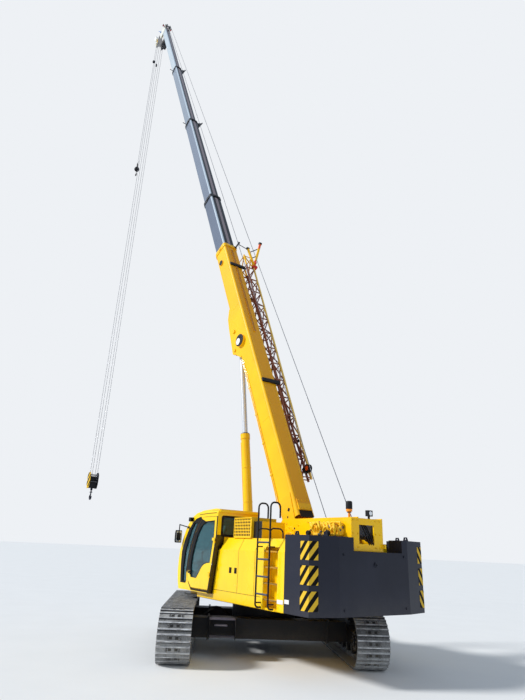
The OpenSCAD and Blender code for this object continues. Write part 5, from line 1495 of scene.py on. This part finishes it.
def makeBlockDetails():
    middle = (low("hook_block")[0] + high("hook_block")[0]) / 2
    pin, sheet, cheek, parts = blockSet["pin"], blockSet["sheet"], blockSet["cheek"], []
    lines = [rounded(blockSet["outline"], 0.03, 4), circle((0, 0, 0), 0.068, 0, 345, 24)[:, [0, 2]]]
    for side, name in bothSides:
        shape = holedPlate(lines, (middle, side * cheek + (sheet if side > 0 else 0), pin), front, up, sheet)
        plate = piece("block_stripes_" + name, shape, "falls", "blockStripes", smooth=0)
        paintLayout(plate, np.concatenate(lines + lines))
        bolts = [(middle + x, side * (cheek + 0.003), pin + z) for x, z in blockSet["cheekBolts"]]
        parts.append(boltsAt(bolts, (0, side, 0), 0.016, 0.014))
        cap = [(0.062, 0.0), (0.062, 0.016), (0.052, 0.02)]
        parts.append(turned(cap, (middle, side * 0.20, pin), (0, side, 0)))
    for x, z in blockSet["stays"]:
        parts.append(tube([(middle + x, y, pin + z) for y in (-0.178, 0.178)], 0.014, sides=10))
    piece("block_fittings", parts, "falls", "castSteel")
    wheel = [(0.03, -0.03), (0.168, -0.03), (0.150, 0.0), (0.168, 0.03), (0.03, 0.03)]
    sheavesAndShade = [turned(wheel, (middle, y, pin), left, 36) for y in blockSet["sheaves"]]
    # A black block between the cheeks below the sheaves: painted shade inside the block
    sheavesAndShade.append(block((middle - 0.11, -0.176, pin - 0.35), (middle + 0.11, 0.176, pin - 0.12)))
    piece("block_sheaves", sheavesAndShade, "falls", "black", bevel=0.004)
    z = low("hook")[2]
    latch = smoothPath([(middle + 0.02, 0, z + 0.235), (middle + 0.06, 0, z + 0.19),
                        (middle + 0.085, 0, z + 0.13), (middle + 0.088, 0, z + 0.10)], 6)
    nut = turned([(0.05, -0.02), (0.062, -0.01), (0.062, 0.03), (0.05, 0.04)], (middle, 0, z + 0.335), up, 6)
    piece("hook_latch", [tube(latch, 0.010, left), nut], "hook", "castSteel")


# Lift cylinder: coordinates along it, to its left and over it, from its base pin
liftAxis = np.array(joints["lift_slide"]["axis"], float)
onLift = placer((0.585, 0.0, 1.40), liftAxis, left, np.cross(liftAxis, left))
liftMouth = 3.64


def makeLiftDetails():
    gland = [(0.078, -0.03), (0.128, -0.03), (0.128, 0.012), (0.118, 0.02), (0.095, 0.022), (0.088, 0.04),
             (0.0775, 0.042)]
    gland = turned(gland, onLift((liftMouth, 0, 0)), liftAxis, 40)
    piece("cylinder_gland", gland, "lift_barrel", "castSteel", "ring_steel")
    ring = circle((liftMouth + 0.018, 0, 0), 0.108, 0, 324, 10, left, up)
    piece("gland_bolts", boltsAt(onLift(ring), liftAxis, 0.010, 0.01), "lift_barrel", "castSteel")
    line = [(0.30, -0.118), (0.36, -0.150), (0.50, -0.150), (3.20, -0.150), (3.35, -0.150), (3.44, -0.126)]
    pipes = [tube(smoothPath(onLift([(t, y, o) for t, o in line]), 5), 0.011, left) for y in (-0.045, 0.045)]
    piece("cylinder_pipes", pipes, "lift_barrel", "yellow")
    band = [(0.1172, -0.018), (0.1235, -0.016), (0.1235, 0.016), (0.1172, 0.018), (0.1172, -0.018)]
    bands = [turned(band, onLift((t, 0, 0)), liftAxis, 40) for t in (0.9, 1.8, 2.7)]
    bands.append(placed(softBlock((0.19, -0.08, -0.20), (0.33, 0.08, -0.10), 0.2), onLift))
    piece("pipe_bands", bands, "lift_barrel", "yellow")


# Jib: fork tips, hinge parts, and the reel at its low end
def makeJibDetails():
    root, tips = np.array((9.45, -0.72, 0.45)), np.array(((10.15, -0.52, 0.61), (10.2, -0.84, 0.94)))
    for tip, share, name, look in zip(tips, (0.66, 0.76), ("left", "right"), ("yellow", "orange")):
        sleeve = tube(onBoom(along(root + (tip - root) * share, tip, 3)), 0.0435, left, 20)
        piece("jib_fork_tip_" + name, sleeve, "boom", look)
    eye = [(0.026, -0.05), (0.050, -0.045), (0.050, 0.045), (0.026, 0.05)]
    eyes = [turned(eye, onBoom(tip), left) for tip in tips]
    eyes += [tube(onBoom(root + (tips - root) * share), 0.016, front) for share in (0.45, 0.78)]
    piece("jib_fork_eyes", eyes, "boom", "black")
    links = [boomBlock((9.32, -0.79, 0.40), (9.40, -0.62, 0.53)),
             boomBlock((9.47, -0.745, 0.50), (9.62, -0.70, 0.60))]
    piece("jib_hinge_blocks", links, "boom", "red", bevel=0.006)
    reel = [(0.02, -0.05), (0.10, -0.05), (0.10, -0.04), (0.07, -0.036), (0.07, 0.036), (0.10, 0.04),
            (0.10, 0.05), (0.02, 0.05)]
    reelAt = onBoom((1.62, -0.53, 0.28))
    reel = [turned(reel, reelAt, left, 28), boomBlock((1.56, -0.60, 0.13), (1.68, -0.46, 0.20))]
    piece("jib_reel", reel, "boom", "plastic", bevel=0.003)
    core = turned([(0.055, -0.054), (0.062, -0.05), (0.062, 0.05), (0.055, 0.054)], reelAt, left)
    piece("jib_reel_core", core, "boom", "orange")
    knob = [(0.01, -0.02), (0.05, -0.02), (0.043, 0.0), (0.05, 0.02), (0.01, 0.02)]
    pulley = [boomBlock((10.30, -0.215, 0.355), (10.36, -0.185, 0.57)),
              boomBlock((10.28, -0.24, 0.36), (10.38, -0.16, 0.378)),
              turned(knob, onBoom((10.33, -0.20, 0.575)), left),
              tube(onBoom(along((10.31, -0.20, 0.54), (10.12, -0.51, 0.59), 3)), 0.013, left)]
    piece("collar_pulley", pulley, "boom", "black", bevel=0.003)
    studs = onBoom([(t, -0.2515, o) for t in (2.57, 2.63, 8.17, 8.23) for o in (-0.07, -0.18)])
    piece("bracket_bolts", boltsAt(studs, right), "boom", "castSteel")


makeHeadDetails()
makeRopeWeights()
makeBlockDetails()
makeLiftDetails()
makeJibDetails()
print("head, hook block, cylinder and jib dressed")
